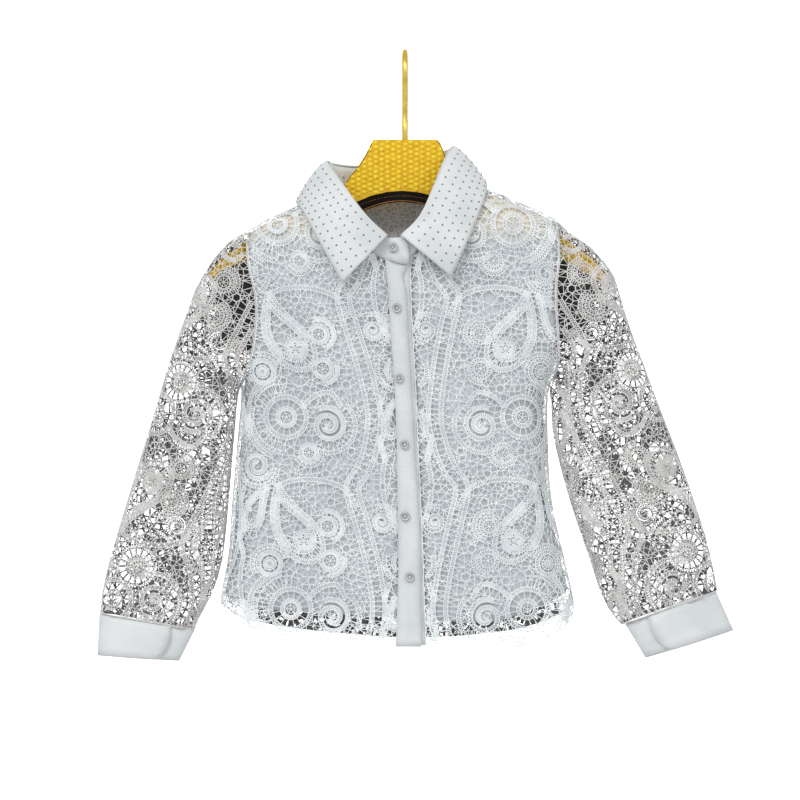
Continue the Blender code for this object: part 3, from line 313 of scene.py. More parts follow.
# The hanger, as it shows from the front: x, z
BOARD_HALF = 5.0
BOARD_TOP = {
    RIGHT: ((-197, -219), (-190, -211), (-180, -201), (-157, -185), (-135, -171), (-108, -158.5),
            (-80, -146.5), (-68, -141), (-61.5, -132), (-55, -121.5), (-47, -112), (-39.5, -100),
            (-34, -89), (-31.5, -85)),
    LEFT: ((32, -85), (35, -88), (39, -97), (41, -107), (42, -118), (44.5, -129), (52, -136), (85, -145),
           (116, -158), (146, -171.5), (152, -177), (172, -192), (190, -205), (201, -219)),
}
BOARD_LOWER = (
    (203, -228), (196, -228), (175, -214), (153, -203), (100, -176), (62, -155), (28, -141),
    (-3, -136), (-34, -141), (-64, -155), (-106, -176), (-165, -208), (-183, -216), (-192, -223),
    (-197, -223),
)
CORE_HALF = 4.0
CORE_LOWER = (
    (-187, -222), (-188.5, -245), (-187, -272), (-181, -288), (-168, -296), (-152, -296), (-137, -285),
    (-122, -255), (-104, -216), (-74, -178), (-40, -155), (-3, -146.5), (34, -155), (70, -178),
    (98, -210), (116, -245), (132, -274), (148, -286), (164, -286), (178, -278), (187, -262),
    (190, -240), (188, -225.5),
)
# The heights, in metres, where the core's paint is black and where the light has paled it
CORE_PLAIN, CORE_PALE = -0.18, -0.21
# The board's woven domes: spacing across and up, height, distance to the edge, and rings
WEAVE_WIDE = 5.8
WEAVE_HIGH = 5.0
WEAVE_TALL = 1.0
WEAVE_EDGE = 1.6
WEAVE_SIDES = 8
WEAVE_RINGS = ((1.0, -0.2), (0.72, 0.75), (0.36, 0.97))
HOOK_RADIUS = 3.0
HOOK_BEND = 22.0
HOOK_TIP_Z = -52.0
HOOK_STEM = ((20, -36), (12, -52), (3.5, -64), (0, -74), (0, -84.7))

# The heights, in metres, where the lining starts and ends taking a painted warm glow, the yellow hanger's
# reflected light showing through it
HANGER_GLOW_FROM, HANGER_GLOW_TO = -0.192, -0.170
# How deep the fine bump of every material is, in metres
BUMP_DEPTH = 0.0004

# Fine creases over the main folds: x and z of the middle, half length, half width, height, lean
FINE_FOLDS = {
    FRONT: (
        (-150, -330, 20, 4.5, 1.6, -60), (-140, -338, 26, 5.0, 1.5, -48), (-128, -342, 30, 5.0, 1.2, -36),
        (136, -332, 24, 4.5, 1.5, 55), (126, -345, 30, 5.5, 1.2, 42), (-150, -400, 50, 6.0, 1.0, 4),
        (-100, -420, 60, 7.0, 0.9, -3), (92, -430, 60, 7.0, 0.9, 5), (130, -430, 50, 6.0, 1.1, -4),
        (-40, -545, 45, 8.0, 0.9, 3), (70, -550, 40, 7.0, 0.9, -4), (-120, -235, 30, 6.0, 0.8, 20),
    ),
    BACK: (
        (-140, -335, 30, 5.0, 1.5, -44), (130, -340, 30, 5.0, 1.5, 44), (-60, -430, 80, 8.0, 1.0, 3),
        (30, -440, 90, 9.0, 1.0, -2), (95, -450, 70, 7.0, 1.0, 4), (-120, -460, 70, 7.0, 1.0, -4),
    ),
}
# The same for the sleeves, in cloth distances
SLEEVE_FINE = {
    FRONT: (
        (22, 60, 40, 5, 1.2, 12), (30, 110, 44, 5, 1.4, -6), (-2, 170, 34, 5, 1.6, 38),
        (14, 182, 34, 5, 1.2, 44), (30, 205, 40, 6, 1.2, 16), (-22, 270, 44, 5, 1.2, -8),
        (18, 300, 44, 5, 1.2, 18), (40, 320, 44, 5, 1.0, -4),
    ),
    BACK: (
        (20, 80, 44, 5, 1.2, 8), (0, 180, 34, 5, 1.5, 36), (26, 230, 44, 6, 1.2, -10),
        (-16, 300, 44, 5, 1.2, 8), (30, 330, 40, 5, 1.1, -6),
    ),
}

# The lace's threads: the radii of cords, net and stitches, and how high they lie
CORD_RADIUS = 0.56
CORD_LIFT = 0.15
NET_RADIUS = 0.37
NET_LIFT = -0.05
NET_SPREAD = (0.85, 1.15)
STITCH_RADIUS = 0.35
STITCH_STEP = 2.0
# A tape is two cords this far either side of its middle, with stitches between them
TAPE_HALF = 2.0
# A thread's corners are left, top and right at each end
THREAD_CORNERS = 6
THREAD_APEXES = (1, 4)
# A thread's height beside its half width, and its faces: open below, or closed by an underside
OPEN_ROOF = (0.8, ((0, 1, 4, 3), (1, 2, 5, 4)))
CLOSED_ROOF = (0.8, ((0, 1, 4, 3), (1, 2, 5, 4), (2, 0, 3, 5)))
FLAT_ROOF = (0.3, (
    (0, 1, 4), (0, 4, 3), (1, 2, 5), (1, 5, 4), (2, 0, 3), (2, 3, 5), (0, 2, 1), (3, 4, 5),
))
# The height below which a net's threads are wider, and how many times wider they are there
PLAIN_NET = (-1000.0, 1.0)
HEM_NET = (-556.0, 4.4)
SLEEVE_BACK_NET = (1000.0, 2.7)
# A panel's threads: the roof of its net, the roof of its tapes, and its net's width
OPEN_STYLE = (OPEN_ROOF, OPEN_ROOF, PLAIN_NET)
BACK_STYLE = (CLOSED_ROOF, OPEN_ROOF, HEM_NET)
SLEEVE_BACK_STYLE = (FLAT_ROOF, FLAT_ROOF, SLEEVE_BACK_NET)
SLEEVE_DEEPEST = 38.0
# The net's loose points: spacing, how far they stray from the grid, and the share kept in sparse places
NET_STEP = 5.4
NET_JITTER = 0.3
SPARSE_SHARE = 0.7
# How far the loose points stay from the outline, the tapes and the gaps, and lines from the outline
EDGE_ROOM = 2.4
TAPE_ROOM = 2.9
GAP_ROOM = 2.0
EDGE_MARGIN = 1.0
# Who a point of the net belongs to, beside the tapes that count up from 0
LOOSE, GAP_RIM, BORDER, CROSSING = -1, -2, -3, -4
# Threads left out of the net: too long, along one tape, over a gap, and most of the longest sides
LONGEST_THREAD = 13.0
ALONG_TAPE = 6.5
GAP_OPEN_SHARE = 0.78
LONG_SIDES_LEFT_OUT = 0.75
# The grid on which a form is charted, and the least length of a direction to be trusted on it
CHART_STEP = 4.0
WEAK_NORMAL = 0.02
# The distance between the points of curved tapes
CURVE_STEP = 2.6
SPIRAL_INNER = 0.24
LEAF_CURL = 0.010
# Where the repeat starts: up for the body, across for a front and for the back, both for a sleeve
REPEAT_BASE = -604.0
FRONT_SHIFT = 16.0
BACK_SHIFT = -72.0
SLEEVE_SHIFT = (-30.0, -12.0)

# Round motifs of the repeat: kind, across, up, radius, turn
MOTIFS = (
    ("wheel", 101, 52, 20.0, 0.2), ("snail", 60, 44, 18.0, 1.1), ("wheel", 122, 97, 11.0, 0.6),
    ("snail", 132, 4, 14.0, 3.6), ("ring", 64, 134, 8.0, 0.0), ("snail", 10, 138, 10.0, 2.2),
    ("ring", 62, 100, 8.5, 0.5), ("ring", 80, 17, 7.5, 0.0), ("flower", 88, 120, 8.5, 0.3),
    ("star", 140, 150, 9.0, 0.2), ("star", 44, 136, 8.0, 0.5), ("star", 84, 92, 7.0, 0.1),
    ("star", 148, 60, 9.0, 0.7), ("star", 0, 84, 8.0, 0.3),
)
# The middle line of the ladder band: up, across
BAND_ROWS = ((0, 27), (18, 20), (50, 14), (84, 18), (112, 24), (140, 31), (172, 38), (190, 27))
BAND_HALF = 6.2
# Arcs of tape round the motifs: across, up, radius, start, sweep, rungs to the radius inside or 0
ARCS = (
    (101, 52, 35.5, -1.5, 2.9, 22.0), (60, 44, 27.0, 2.4, 3.0, 20.0), (132, 4, 20.5, 3.3, 3.3, 15.0),
    (122, 97, 17.5, -0.6, 3.4, 12.0), (64, 134, 15.0, 1.2, 3.2, 9.0), (62, 100, 14.5, 2.2, 2.6, 9.5),
    (80, 17, 13.0, 3.4, 3.0, 8.5), (10, 138, 16.0, 1.2, 3.0, 11.0), (101, 52, 41.5, -1.2, 2.2, 0.0),
)
# Leaves with a laddered border: across, up, half length, half width, lean
LEAVES = ((100, 134, 41.0, 24.0, 0.9), (-8, 56, 25.0, 12.0, 1.9))
LADDER_SHARE = 0.72
# Long single tapes, through points across and up
SWEEPS = (
    ((34, 152), (46, 171), (72, 180), (98, 179), (114, 172)),
    ((142, 40), (150, 62), (152, 88), (149, 108), (156, 128)),
    ((4, 8), (9, 24), (4, 42), (8, 60), (3, 78)),
    ((46, 62), (56, 76), (72, 73), (84, 62)),
)


def smooth(x):
    """An even start and end between 0 and 1."""
    x = min(max(x, 0.0), 1.0)
    return x * x * (3.0 - 2.0 * x)


def read_rows(rows, at, column):
    """The value of a column where the first column has the value `at`, on a smooth curve."""
    falling = rows[0][0] > rows[-1][0]
    keys = [-row[0] if falling else row[0] for row in rows]
    values = [row[column] for row in rows]
    at = -at if falling else at
    at = min(max(at, keys[0]), keys[-1])
    last = len(keys) - 1
    i = max(k for k in range(last) if keys[k] <= at)

    def slope(k):
        before, after = max(k - 1, 0), min(k + 1, last)
        return (values[after] - values[before]) / (keys[after] - keys[before])

    span = keys[i + 1] - keys[i]
    t = (at - keys[i]) / span
    start, end = slope(i) * span, slope(i + 1) * span
    rise = values[i + 1] - values[i]
    return values[i] + start * t + (3 * rise - 2 * start - end) * t * t + (start + end - 2 * rise) * t ** 3


def body_value(name, z):
    """A column of the body's table at a height."""
    return read_rows(BODY_ROWS, z, BODY_COLUMNS.index(name))


def ridge_height(across):
    """The shoulder line's height at a distance across."""
    return read_rows(RIDGE_ROWS, across, RIDGE_COLUMNS.index("up"))


def side_edge(z, side):
    """The distance from the button line to the side edge."""
    edge = body_value("right" if side == RIGHT else "left", z)
    return side * (edge - body_value("centre", z))


def fold_height(folds, x, z):
    """The height of all folds together at a place."""
    total = 0.0
    for mid_x, mid_z, half_long, half_wide, high, lean in folds:
        turn = math.radians(lean)
        across = (x - mid_x) * math.cos(turn) + (z - mid_z) * math.sin(turn)
        along = (z - mid_z) * math.cos(turn) - (x - mid_x) * math.sin(turn)
        if abs(along) < half_long and abs(across) < 3 * half_wide:
            fade = math.cos(math.pi / 2 * along / half_long) ** 2
            total += high * math.exp(-(across / half_wide) ** 2) * fade
    return total


def body_swell(x, z, face, across, edge):
    """The middle's depth beyond the edges' roll: the crown and the folds."""
    crown = FRONT_CROWN if face == FRONT else BACK_CROWN
    flat = max(0.0, 1.0 - (across / edge) ** 2)
    return crown * flat + fold_height(BODY_FOLDS[face], x, z)


def body_depth(x, z, lift, face):
    """How far the body's cloth stands from the middle plane, seen at x and z."""
    across = x - body_value("centre", z)
    side = RIGHT if across < 0 else LEFT
    edge = side_edge(z, side)
    flat = edge - SIDE_ROLL
    turn = min(max((abs(across) - flat) / (SIDE_ROLL + lift), 0.0), 1.0)
    cloth = side * min(abs(across), flat) + side * math.asin(turn) * SIDE_ARC
    drop = ridge_height(cloth) + lift - z
    climb = min(max(1.0 - drop / (RIDGE_DROP + lift), 0.0), 1.0)
    depth = body_value("front" if face == FRONT else "back", z) + lift
    swell = body_swell(x, z, face, across, edge)
    return (depth + swell) * math.sqrt(1.0 - turn ** 2) * math.sqrt(1.0 - climb ** 2)


def body_point(across, up, lift, face):
    """A point of the body from its cloth distances, `lift` off the base form."""
    top = ridge_height(across) + RIDGE_ARC - RIDGE_DROP
    theta = min(max((top - up) / RIDGE_ARC, 0.0), 1.0) * math.pi / 2
    ridge = ridge_height(across)
    z = up if up < ridge - RIDGE_DROP else ridge + lift - (RIDGE_DROP + lift) * (1.0 - math.cos(theta))
    side = RIGHT if across < 0 else LEFT
    edge = side_edge(z, side)
    flat = edge - SIDE_ROLL
    phi = min(max((abs(across) - flat) / SIDE_ARC, 0.0), math.pi / 2)
    reach = min(abs(across), flat) + (SIDE_ROLL + lift) * math.sin(phi)
    x = body_value("centre", z) + side * reach
    depth = body_value("front" if face == FRONT else "back", z) + lift
    swell = body_swell(x, z, face, side * reach, edge)
    return Vector((x, face * (depth + swell) * math.cos(phi) * math.sin(theta), z))


def body_cloth(x, z):
    """The cloth distances of the point that shows at x and z."""
    across = x - body_value("centre", z)
    side = RIGHT if across < 0 else LEFT
    flat = side_edge(z, side) - SIDE_ROLL
    turn = min(max((abs(across) - flat) / SIDE_ROLL, 0.0), 1.0)
    cloth = side * (min(abs(across), flat) + math.asin(turn) * SIDE_ARC)
    drop = max(ridge_height(cloth) - z, 0.0)
    if drop >= RIDGE_DROP:
        return cloth, z
    theta = math.acos(1.0 - drop / RIDGE_DROP)
    return cloth, ridge_height(cloth) + RIDGE_ARC - RIDGE_DROP - RIDGE_ARC * theta / (math.pi / 2)


def side_cloth(z, side):
    """The cloth distance of the side seam."""
    return side * (side_edge(z, side) - SIDE_ROLL + SIDE_ARC * math.pi / 2)


def ridge_cloth(across):
    """The cloth distance of the shoulder line."""
    return ridge_height(across) + RIDGE_ARC - RIDGE_DROP


def sleeve_value(name, down, side):
    """A column of a sleeve's table at a distance down."""
    return read_rows(SLEEVE_ROWS[side], down, SLEEVE_COLUMNS.index(name))


def sleeve_place(out, down, side):
    """x and z of a place in a sleeve's frame."""
    lean, tip = SLEEVE_LEAN[side], SLEEVE_TIP[side]
    x = tip[0] + side * (out * math.cos(lean) + down * math.sin(lean))
    return x, tip[1] + out * math.sin(lean) - down * math.cos(lean)


def sleeve_frame(x, z, side):
    """The place in a sleeve's frame of x and z."""
    lean, tip = SLEEVE_LEAN[side], SLEEVE_TIP[side]
    away, rise = (x - tip[0]) * side, z - tip[1]
    return away * math.cos(lean) + rise * math.sin(lean), away * math.sin(lean) - rise * math.cos(lean)


def armhole_edge(side, face):
    """The lace's armhole edge as it lies on the body, from the shoulder tip to the armpit."""
    cloth = [body_cloth(x, z) for x, z in curve_through(ARMHOLES[side], 15)]
    return [body_point(u, v, LACE_LIFT, face) for u, v in cloth]


def sleeve_own_depth(out, down, side):
    """The depth of a sleeve's tube by itself, before it meets the armhole."""
    over = max(out - sleeve_value("outer", down, side), sleeve_value("inner", down, side) - out) + SLEEVE_ROLL
    turn = min(max(over / SLEEVE_ROLL, 0.0), 1.0)
    return sleeve_value("depth", down, side) * math.sqrt(1.0 - turn ** 2)


def armhole_steps(side, face):
    """The body's depth as a share of the sleeve's own, along the armhole: x, z, share."""
    steps = []
    for point in armhole_edge(side, face):
        own = sleeve_own_depth(*sleeve_frame(point.x, point.z, side), side)
        steps.append((point.x, point.z, abs(point.y) / own if own > LEAST_DEPTH else 1.0))
    return steps


def armhole_step(x, z, side, face):
    """The distance to the armhole, and the depth share at its nearest place."""
    nearest, step = 1e9, 1.0
    rows = STEPS[side, face]
    for (ax, az, a_step), (bx, bz, b_step) in zip(rows, rows[1:]):
        run_x, run_z = bx - ax, bz - az
        t = ((x - ax) * run_x + (z - az) * run_z) / (run_x ** 2 + run_z ** 2)
        t = min(max(t, 0.0), 1.0)
        away = math.hypot(x - ax - t * run_x, z - az - t * run_z)
        if away < nearest:
            nearest, step = away, a_step + (b_step - a_step) * t
    return nearest, step


def cuff_seam(out, side):
    """How far down a sleeve its cuff seam lies."""
    (a_out, a_down), (b_out, b_down) = CUFF_SEAM[side]
    return a_down + (b_down - a_down) * (out - a_out) / (b_out - a_out)


def sleeve_point(cloth, down, lift, side, face):
    """A point of a sleeve: cloth distance out from its middle line, and down along it."""
    inner, outer = sleeve_value("inner", down, side), sleeve_value("outer", down, side)
    flat_in, flat_out = inner + SLEEVE_ROLL, outer - SLEEVE_ROLL
    over = cloth - flat_out if cloth > flat_out else min(cloth - flat_in, 0.0)
    phi = min(abs(over) / SLEEVE_ARC, math.pi / 2)
    out = min(max(cloth, flat_in), flat_out) + math.copysign((SLEEVE_ROLL + lift) * math.sin(phi), over)
    x, z = sleeve_place(out, down, side)
    to_seam = cuff_seam(out, side) - down
    gather = GATHER_HEIGHT * smooth(1.0 - to_seam / GATHER_REACH)
    wave = gather * math.cos(2 * math.pi * GATHER_COUNT * (out - inner) / (outer - inner))
    swell = fold_height(SLEEVE_FOLDS[face], out, down) * smooth(to_seam / GATHER_REACH)
    away, step = armhole_step(x, z, side, face)
    seam = smooth(1.0 - away / SLEEVE_BLEND)
    depth = (sleeve_value("depth", down, side) + lift + swell * (1.0 - seam) + wave) * math.cos(phi)
    return Vector((x, face * depth * (1.0 + (step - 1.0) * seam), z))


def sleeve_cloth(x, z, side):
    """The cloth distances of the sleeve's point that shows at x and z."""
    out, down = sleeve_frame(x, z, side)
    flat_in = sleeve_value("inner", down, side) + SLEEVE_ROLL
    flat_out = sleeve_value("outer", down, side) - SLEEVE_ROLL
    over = out - flat_out if out > flat_out else min(out - flat_in, 0.0)
    turn = math.asin(min(abs(over) / SLEEVE_ROLL, 1.0))
    return min(max(out, flat_in), flat_out) + math.copysign(turn * SLEEVE_ARC, over), down


def shifted(points, distance):
    """A line of points moved sideways, to the left of its run."""
    result = []
    for i, (u, v) in enumerate(points):
        before, after = points[max(i - 1, 0)], points[min(i + 1, len(points) - 1)]
        share = distance / math.dist(before, after)
        result.append((u - (after[1] - before[1]) * share, v + (after[0] - before[0]) * share))
    return result


def curve_through(points, step):
    """Points about a step apart on a smooth curve through a list of points."""
    result = [tuple(points[0])]
    for i in range(len(points) - 1):
        p = [Vector(points[min(max(k, 0), len(points) - 1)]) for k in range(i - 1, i + 3)]
        count = max(1, math.ceil((p[2] - p[1]).length / step))
        for j in range(1, count + 1):
            t = j / count
            blend = (2 * p[1] + (p[2] - p[0]) * t + (2 * p[0] - 5 * p[1] + 4 * p[2] - p[3]) * t * t
                     + (3 * p[1] - p[0] - 3 * p[2] + p[3]) * t ** 3)
            result.append(tuple(blend / 2))
    return result


def inside(point, outline):
    """Whether a point lies inside an outline."""
    hit = False
    for (ax, ay), (bx, by) in zip(outline, outline[1:] + outline[:1]):
        if (ay > point[1]) != (by > point[1]) and point[0] < ax + (bx - ax) * (point[1] - ay) / (by - ay):
            hit = not hit
    return hit


def outline_distance(point, outline):
    """The distance of a point to the nearest side of an outline."""
    nearest = 1e9
    for (ax, ay), (bx, by) in zip(outline, outline[1:] + outline[:1]):
        run = (bx - ax) ** 2 + (by - ay) ** 2
        t = 0.0 if run == 0 else ((point[0] - ax) * (bx - ax) + (point[1] - ay) * (by - ay)) / run
        t = min(max(t, 0.0), 1.0)
        nearest = min(nearest, math.hypot(point[0] - ax - t * (bx - ax), point[1] - ay - t * (by - ay)))
    return nearest


def lace_gaps(outline, shift, mirror, low, high):
    """The repeat's largest gaps inside an outline and between two heights, as small polygons."""
    gaps = []
    for column in range(-3, 4):
        for row in range(-5, 6):
            for i, (across, up, radius) in enumerate(GAP_SPOTS):
                u = mirror * (across + column * REPEAT_WIDE) + shift[0]
                v = up + (row + column % 2 / 2) * REPEAT_HIGH + shift[1]
                if not low < v < high or not inside((u, v), outline):
                    continue
                if outline_distance((u, v), outline) < radius + GAP_EDGE:
                    continue
                sides = 5 + i % 2
                start = 0.7 * i + column + 0.4 * row
                ring = [start + 2 * math.pi * k / sides for k in range(sides)]
                gaps.append([(u + radius * math.cos(a), v + radius * math.sin(a)) for a in ring])
    return gaps


def panel_mesh(name, outline, step, place):
    """An open sheet: a flat outline filled with triangles and laid on a form."""
    points = outline + [point for point in cloth_grid(outline, step)
                        if inside(point, outline) and outline_distance(point, outline) >= EDGE_CLEAR]
    edges = [(i, (i + 1) % len(outline)) for i in range(len(outline))]
    flat, _, triangles, _, _, _ = delaunay_2d_cdt([Vector(point) for point in points], edges, [], 0, 1e-5)
    kept = []
    for triangle in triangles:
        middle = tuple(sum(flat[k][axis] for k in triangle) / 3 for axis in range(2))
        if inside(middle, outline):
            kept.append(triangle)
    mesh = bpy.data.meshes.new(name)
    mesh.from_pydata([place(*point) * MM for point in flat], [], kept)
    return mesh


def tidy_sheet(mesh, face):
    """Drops loose points and turns the faces outward: to the front or to the back."""
    sheet = bmesh.new()
    sheet.from_mesh(mesh)
    loose = [vertex for vertex in sheet.verts if not vertex.link_faces]
    bmesh.ops.delete(sheet, geom=loose, context="VERTS")
    bmesh.ops.recalc_face_normals(sheet, faces=sheet.faces)
    total = sum((f.normal * f.calc_area() for f in sheet.faces), Vector())
    if total.y * face < 0:
        bmesh.ops.reverse_faces(sheet, faces=sheet.faces)
    sheet.to_mesh(mesh)
    sheet.free()


def add_wall(name, mesh, wall, face, material):
    """A piece of cloth: an open sheet given its thickness."""
    tidy_sheet(mesh, face)
    mesh.materials.append(material)
    thing = bpy.data.objects.new(name, mesh)
    bpy.context.scene.collection.objects.link(thing)
    solidify = thing.modifiers.new("wall", "SOLIDIFY")
    solidify.thickness = wall * MM
    solidify.offset = 0.0
    return thing


def placket_edge(name, z):
    """An edge of the button strip at a height."""
    return read_rows(PLACKET_ROWS, z, PLACKET_COLUMNS.index(name))


def front_outline(side, hem):
    """A front's outline in cloth distances, from the strip's edge round by the hem and the armhole."""
    def strip_edge(z):
        if side == RIGHT:
            return placket_edge("left", z) + PANEL_UNDER_PLACKET
        return placket_edge("under", z) + 2 * SEAM_GAP

    neck = [body_cloth(x, z) for x, z in curve_through(NECKLINES[side], 14)]
    neck = shifted(neck, side * NECK_TRIM)
    strip_top = neck[-1][1]
    neck = [(u, v) for u, v in neck if side * (u - strip_edge(v)) > 1.0]
    hem_line = [body_cloth(x, z) for x, z in curve_through(hem, 15)][1:-1]
    low = hem[0][1]
    strip = [(strip_edge(z), z) for z in spaced_values(strip_top - 2.0, low, 24)]
    armpit = ARMHOLES[side][-1][1]
    seam = [(side_cloth(z, side) - side * SEAM_GAP, z) for z in spaced_values(hem[-1][1], armpit, 19)]
    arm = [body_cloth(x, z) for x, z in curve_through(ARMHOLES[side], 15)]
    arm = [(u - side * SEAM_GAP, v) for u, v in reversed(arm)][1:-1]
    tip, neck_end = arm[-1][0], neck[0][0]
    count = max(2, math.ceil(abs(tip - neck_end) / 16))
    shoulder = [tip + (neck_end - tip) * k / count for k in range(count + 1)]
    shoulder = [(u, ridge_cloth(u) - SEAM_GAP) for u in shoulder]
    neck = [(u, v) for u, v in neck if v < ridge_cloth(u) - 3.0]
    hem_line = [(u, v) for u, v in hem_line if side * (u - strip_edge(low)) > 3.0]
    return strip + hem_line + seam + arm[:-1] + shoulder + neck


def spaced_values(start, end, step):
    """Even values from start to end, about a step apart."""
    count = max(1, math.ceil(abs(end - start) / step))
    return [start + (end - start) * k / count for k in range(count + 1)]


def back_outline(hem):
    """The back's outline in cloth distances, round by both side seams, armholes and the neck."""
    halves = {}
    for side in (RIGHT, LEFT):
        low = hem[0][1] if side == RIGHT else hem[-1][1]
        seam = [(side_cloth(z, side) - side * SEAM_GAP, z)
                for z in spaced_values(low, ARMHOLES[side][-1][1], 19)]
        arm = [body_cloth(x, z) for x, z in curve_through(ARMHOLES[side], 15)]
        arm = [(u - side * SEAM_GAP, v) for u, v in reversed(arm)][1:-1]
        end = body_cloth(*NECKLINES[side][0])[0] + side * BACK_NECK_TRIM
        tip = arm[-1][0]
        count = math.ceil(abs(tip - end) / 16)
        top = [tip + (end - tip) * k / count for k in range(count + 1)]
        halves[side] = seam + arm[:-1] + [(u, ridge_cloth(u) - SEAM_GAP) for u in top]
    neck = [body_cloth(x, z) for x, z in curve_through(BACK_NECKLINE, 12)]
    neck = [(u, v) for u, v in shifted(neck, -BACK_NECK_TRIM * 0.7) if v < ridge_cloth(u) - 3.0]
    hem_line = [body_cloth(x, z) for x, z in curve_through(hem, 16)][1:-1]
    return list(reversed(halves[LEFT])) + hem_line[::-1] + halves[RIGHT] + neck


def strip_outline(inset, right_column, tops, bottom):
    """A layer of the strip, down from its two top corners to its bottom."""
    left = [(placket_edge("left", z) + inset, z) for z in spaced_values(tops[0], bottom, STRIP_STEP)]
    right = [(placket_edge(right_column, z), z) for z in spaced_values(tops[1], bottom, STRIP_STEP)]
    return left + right[::-1]


def sleeve_edge(name, down, side):
    """The cloth distance of a sleeve half's outer or inner edge."""
    away = SLEEVE_ARC * math.pi / 2 - SLEEVE_ROLL - SEAM_GAP
    return sleeve_value(name, down, side) + (away if name == "outer" else -away)


def sleeve_outline(side):
    """A sleeve half's outline: armhole, outer edge, cuff seam and underarm edge."""
    arm = [sleeve_cloth(point.x, point.z, side) for point in armhole_edge(side, FRONT)]
    arm = [(u + ARMHOLE_GAP, v) for u, v in arm]
    for i, share in ((0, 1.0), (-1, 1.0), (-2, 0.6)):
        arm[i] = (arm[i][0], arm[i][1] + TIP_GAP * share)
    arm = [(min(max(u, sleeve_edge("inner", v, side)), sleeve_edge("outer", v, side)), v) for u, v in arm]
    low = CUFF_SEAM[side][1][1] - CUFF_GAP
    outer = []
    for down in spaced_values(-2.0, low, 19):
        outer.append((sleeve_edge("outer", down, side), down))
    seam_in, seam_out = CUFF_SEAM[side][0][0], CUFF_SEAM[side][1][0]
    low_in = CUFF_SEAM[side][0][1] - CUFF_GAP
    inner_end = sleeve_edge("inner", low_in, side)
    outer_end = outer[-1][0]
    across = spaced_values(outer_end, inner_end, 5)
    seam = []
    for u in across[1:-1]:
        share = (u - inner_end) / (outer_end - inner_end)
        seam.append((u, cuff_seam(seam_in + (seam_out - seam_in) * share, side) - CUFF_GAP))
    start = arm[-1][1] + 2.0
    inner = [(sleeve_edge("inner", down, side), down) for down in spaced_values(low_in, start, 19)]
    first_down = arm[0][1]
    outer = [(u, v) for u, v in outer if v > first_down + 6.0]
    return arm[:-1] + inner[::-1] + seam[::-1] + outer[::-1]


def cuff_point(turn, fall, side):
    """A point of a cuff: turns round it from its outer edge, and its fall from seam to bottom."""
    angle = 2 * math.pi * turn
    out_share = 0.5 + 0.5 * math.cos(angle)
    step = CUFF_STEP * smooth((turn - CUFF_START - 1.0 + CUFF_LAP) / CUFF_LAP)
    round_share = math.copysign(abs(math.sin(angle)) ** 0.65, -math.sin(angle))
    ends = []
    for (in_out, in_down), (out_out, out_down) in (CUFF_SEAM[side], CUFF_BOTTOM[side]):
        ends.append(Vector((in_out, in_down)).lerp(Vector((out_out, out_down)), out_share))
    out, down = ends[0].lerp(ends[1], fall)
    x, z = sleeve_place(out, down, side)
    return Vector((x, round_share * (CUFF_DEPTH + step), z))


def surface_normal(place, u, v, face):
    """The direction square to a form, to the front or to the back."""
    step = 2.0
    across = place(u + step, v) - place(u - step, v)
    along = place(u, v + step) - place(u, v - step)
    normal = across.cross(along).normalized()
    return normal if normal.y * face > 0 else -normal


def collar_station(share):
    """All columns of the collar's table at a share of the way round, on smooth curves."""
    rows = [(float(i),) + row for i, row in enumerate(COLLAR_ROWS)]
    at = share * (len(rows) - 1)
    values = [read_rows(rows, at, k + 2) for k in range(len(COLLAR_COLUMNS) - 1)]
    face = FRONT if values[3] < 0 else BACK
    return face, values


def collar_lines(share):
    """The seam, the fold and the outer edge of the collar at a share of the way round."""
    face, (seam_x, seam_z, fold_x, fold_y, fold_z, edge_x, edge_y, edge_z) = collar_station(share)
    seam = Vector((seam_x, face * body_depth(seam_x, seam_z, STAND_LIFT, face), seam_z))
    return seam, Vector((fold_x, fold_y, fold_z)), Vector((edge_x, edge_y, edge_z))


def outward(fold):
    """The level direction away from the middle of the neck."""
    return Vector((fold.x - COLLAR_MIDDLE_X, fold.y * 1.6, 0.0)).normalized()


def leaf_point(share, fall):
    """A point of the turned-down leaf: share of the way round, and fall from fold to edge."""
    _, fold, edge = collar_lines(share)
    point = fold.lerp(edge, fall)
    point += outward(fold) * LEAF_BULGE * math.sqrt(fall) * (1.0 - fall)
    point.z += FOLD_RISE * (1.0 - fall)
    face = FRONT if point.y < 0 else BACK
    depth = body_depth(point.x, point.z, LEAF_LIFT + (LEAF_EDGE_LIFT - LEAF_LIFT) * fall, face)
    point.y = face * max(abs(point.y), depth)
    return point


def stand_lines(share):
    """The lower and the upper edge of the stand's ring."""
    seam, fold, _ = collar_lines(share)
    top = fold - outward(fold) * STAND_INSET
    top.z -= FOLD_RISE
    return seam, top


def stand_end(line, end, lift, share):
    """A place on the way from the stand's ring to one of its two lapped front ends."""
    rows = []
    for start, (x, z) in zip(line, end):
        way = start.lerp(Vector((x, start.y, z)), share)
        settled = smooth(share * 2.5)
        depth = body_depth(way.x, way.z, STAND_LIFT + (lift - STAND_LIFT) * settled, FRONT)
        rows.append(Vector((way.x, start.y * (1.0 - settled) - depth * settled, way.z)))
    return rows


def stand_point(along, rise):
    """A point of the stand: before 0 is its top tab, and past its length its under end."""
    if along < 0.0:
        seam, top = stand_end(stand_lines(0.0), TAB_END, TAB_LIFT, -along / TAB_LONG)
    elif along > STAND_LONG:
        share = (along - STAND_LONG) / UNDER_END_LONG
        seam, top = stand_end(stand_lines(1.0), UNDER_END, UNDER_END_LIFT, share)
    else:
        seam, top = stand_lines(along / STAND_LONG)
    return seam.lerp(top, rise / STAND_HIGH)


def grid_mesh(name, rows):
    """An open sheet through rows of points of one length."""
    count = len(rows[0])
    faces = [(r * count + k, r * count + k + 1, (r + 1) * count + k + 1, (r + 1) * count + k)
             for r in range(len(rows) - 1) for k in range(count - 1)]
    mesh = bpy.data.meshes.new(name)
    mesh.from_pydata([point * MM for row in rows for point in row], [], faces)
    return mesh


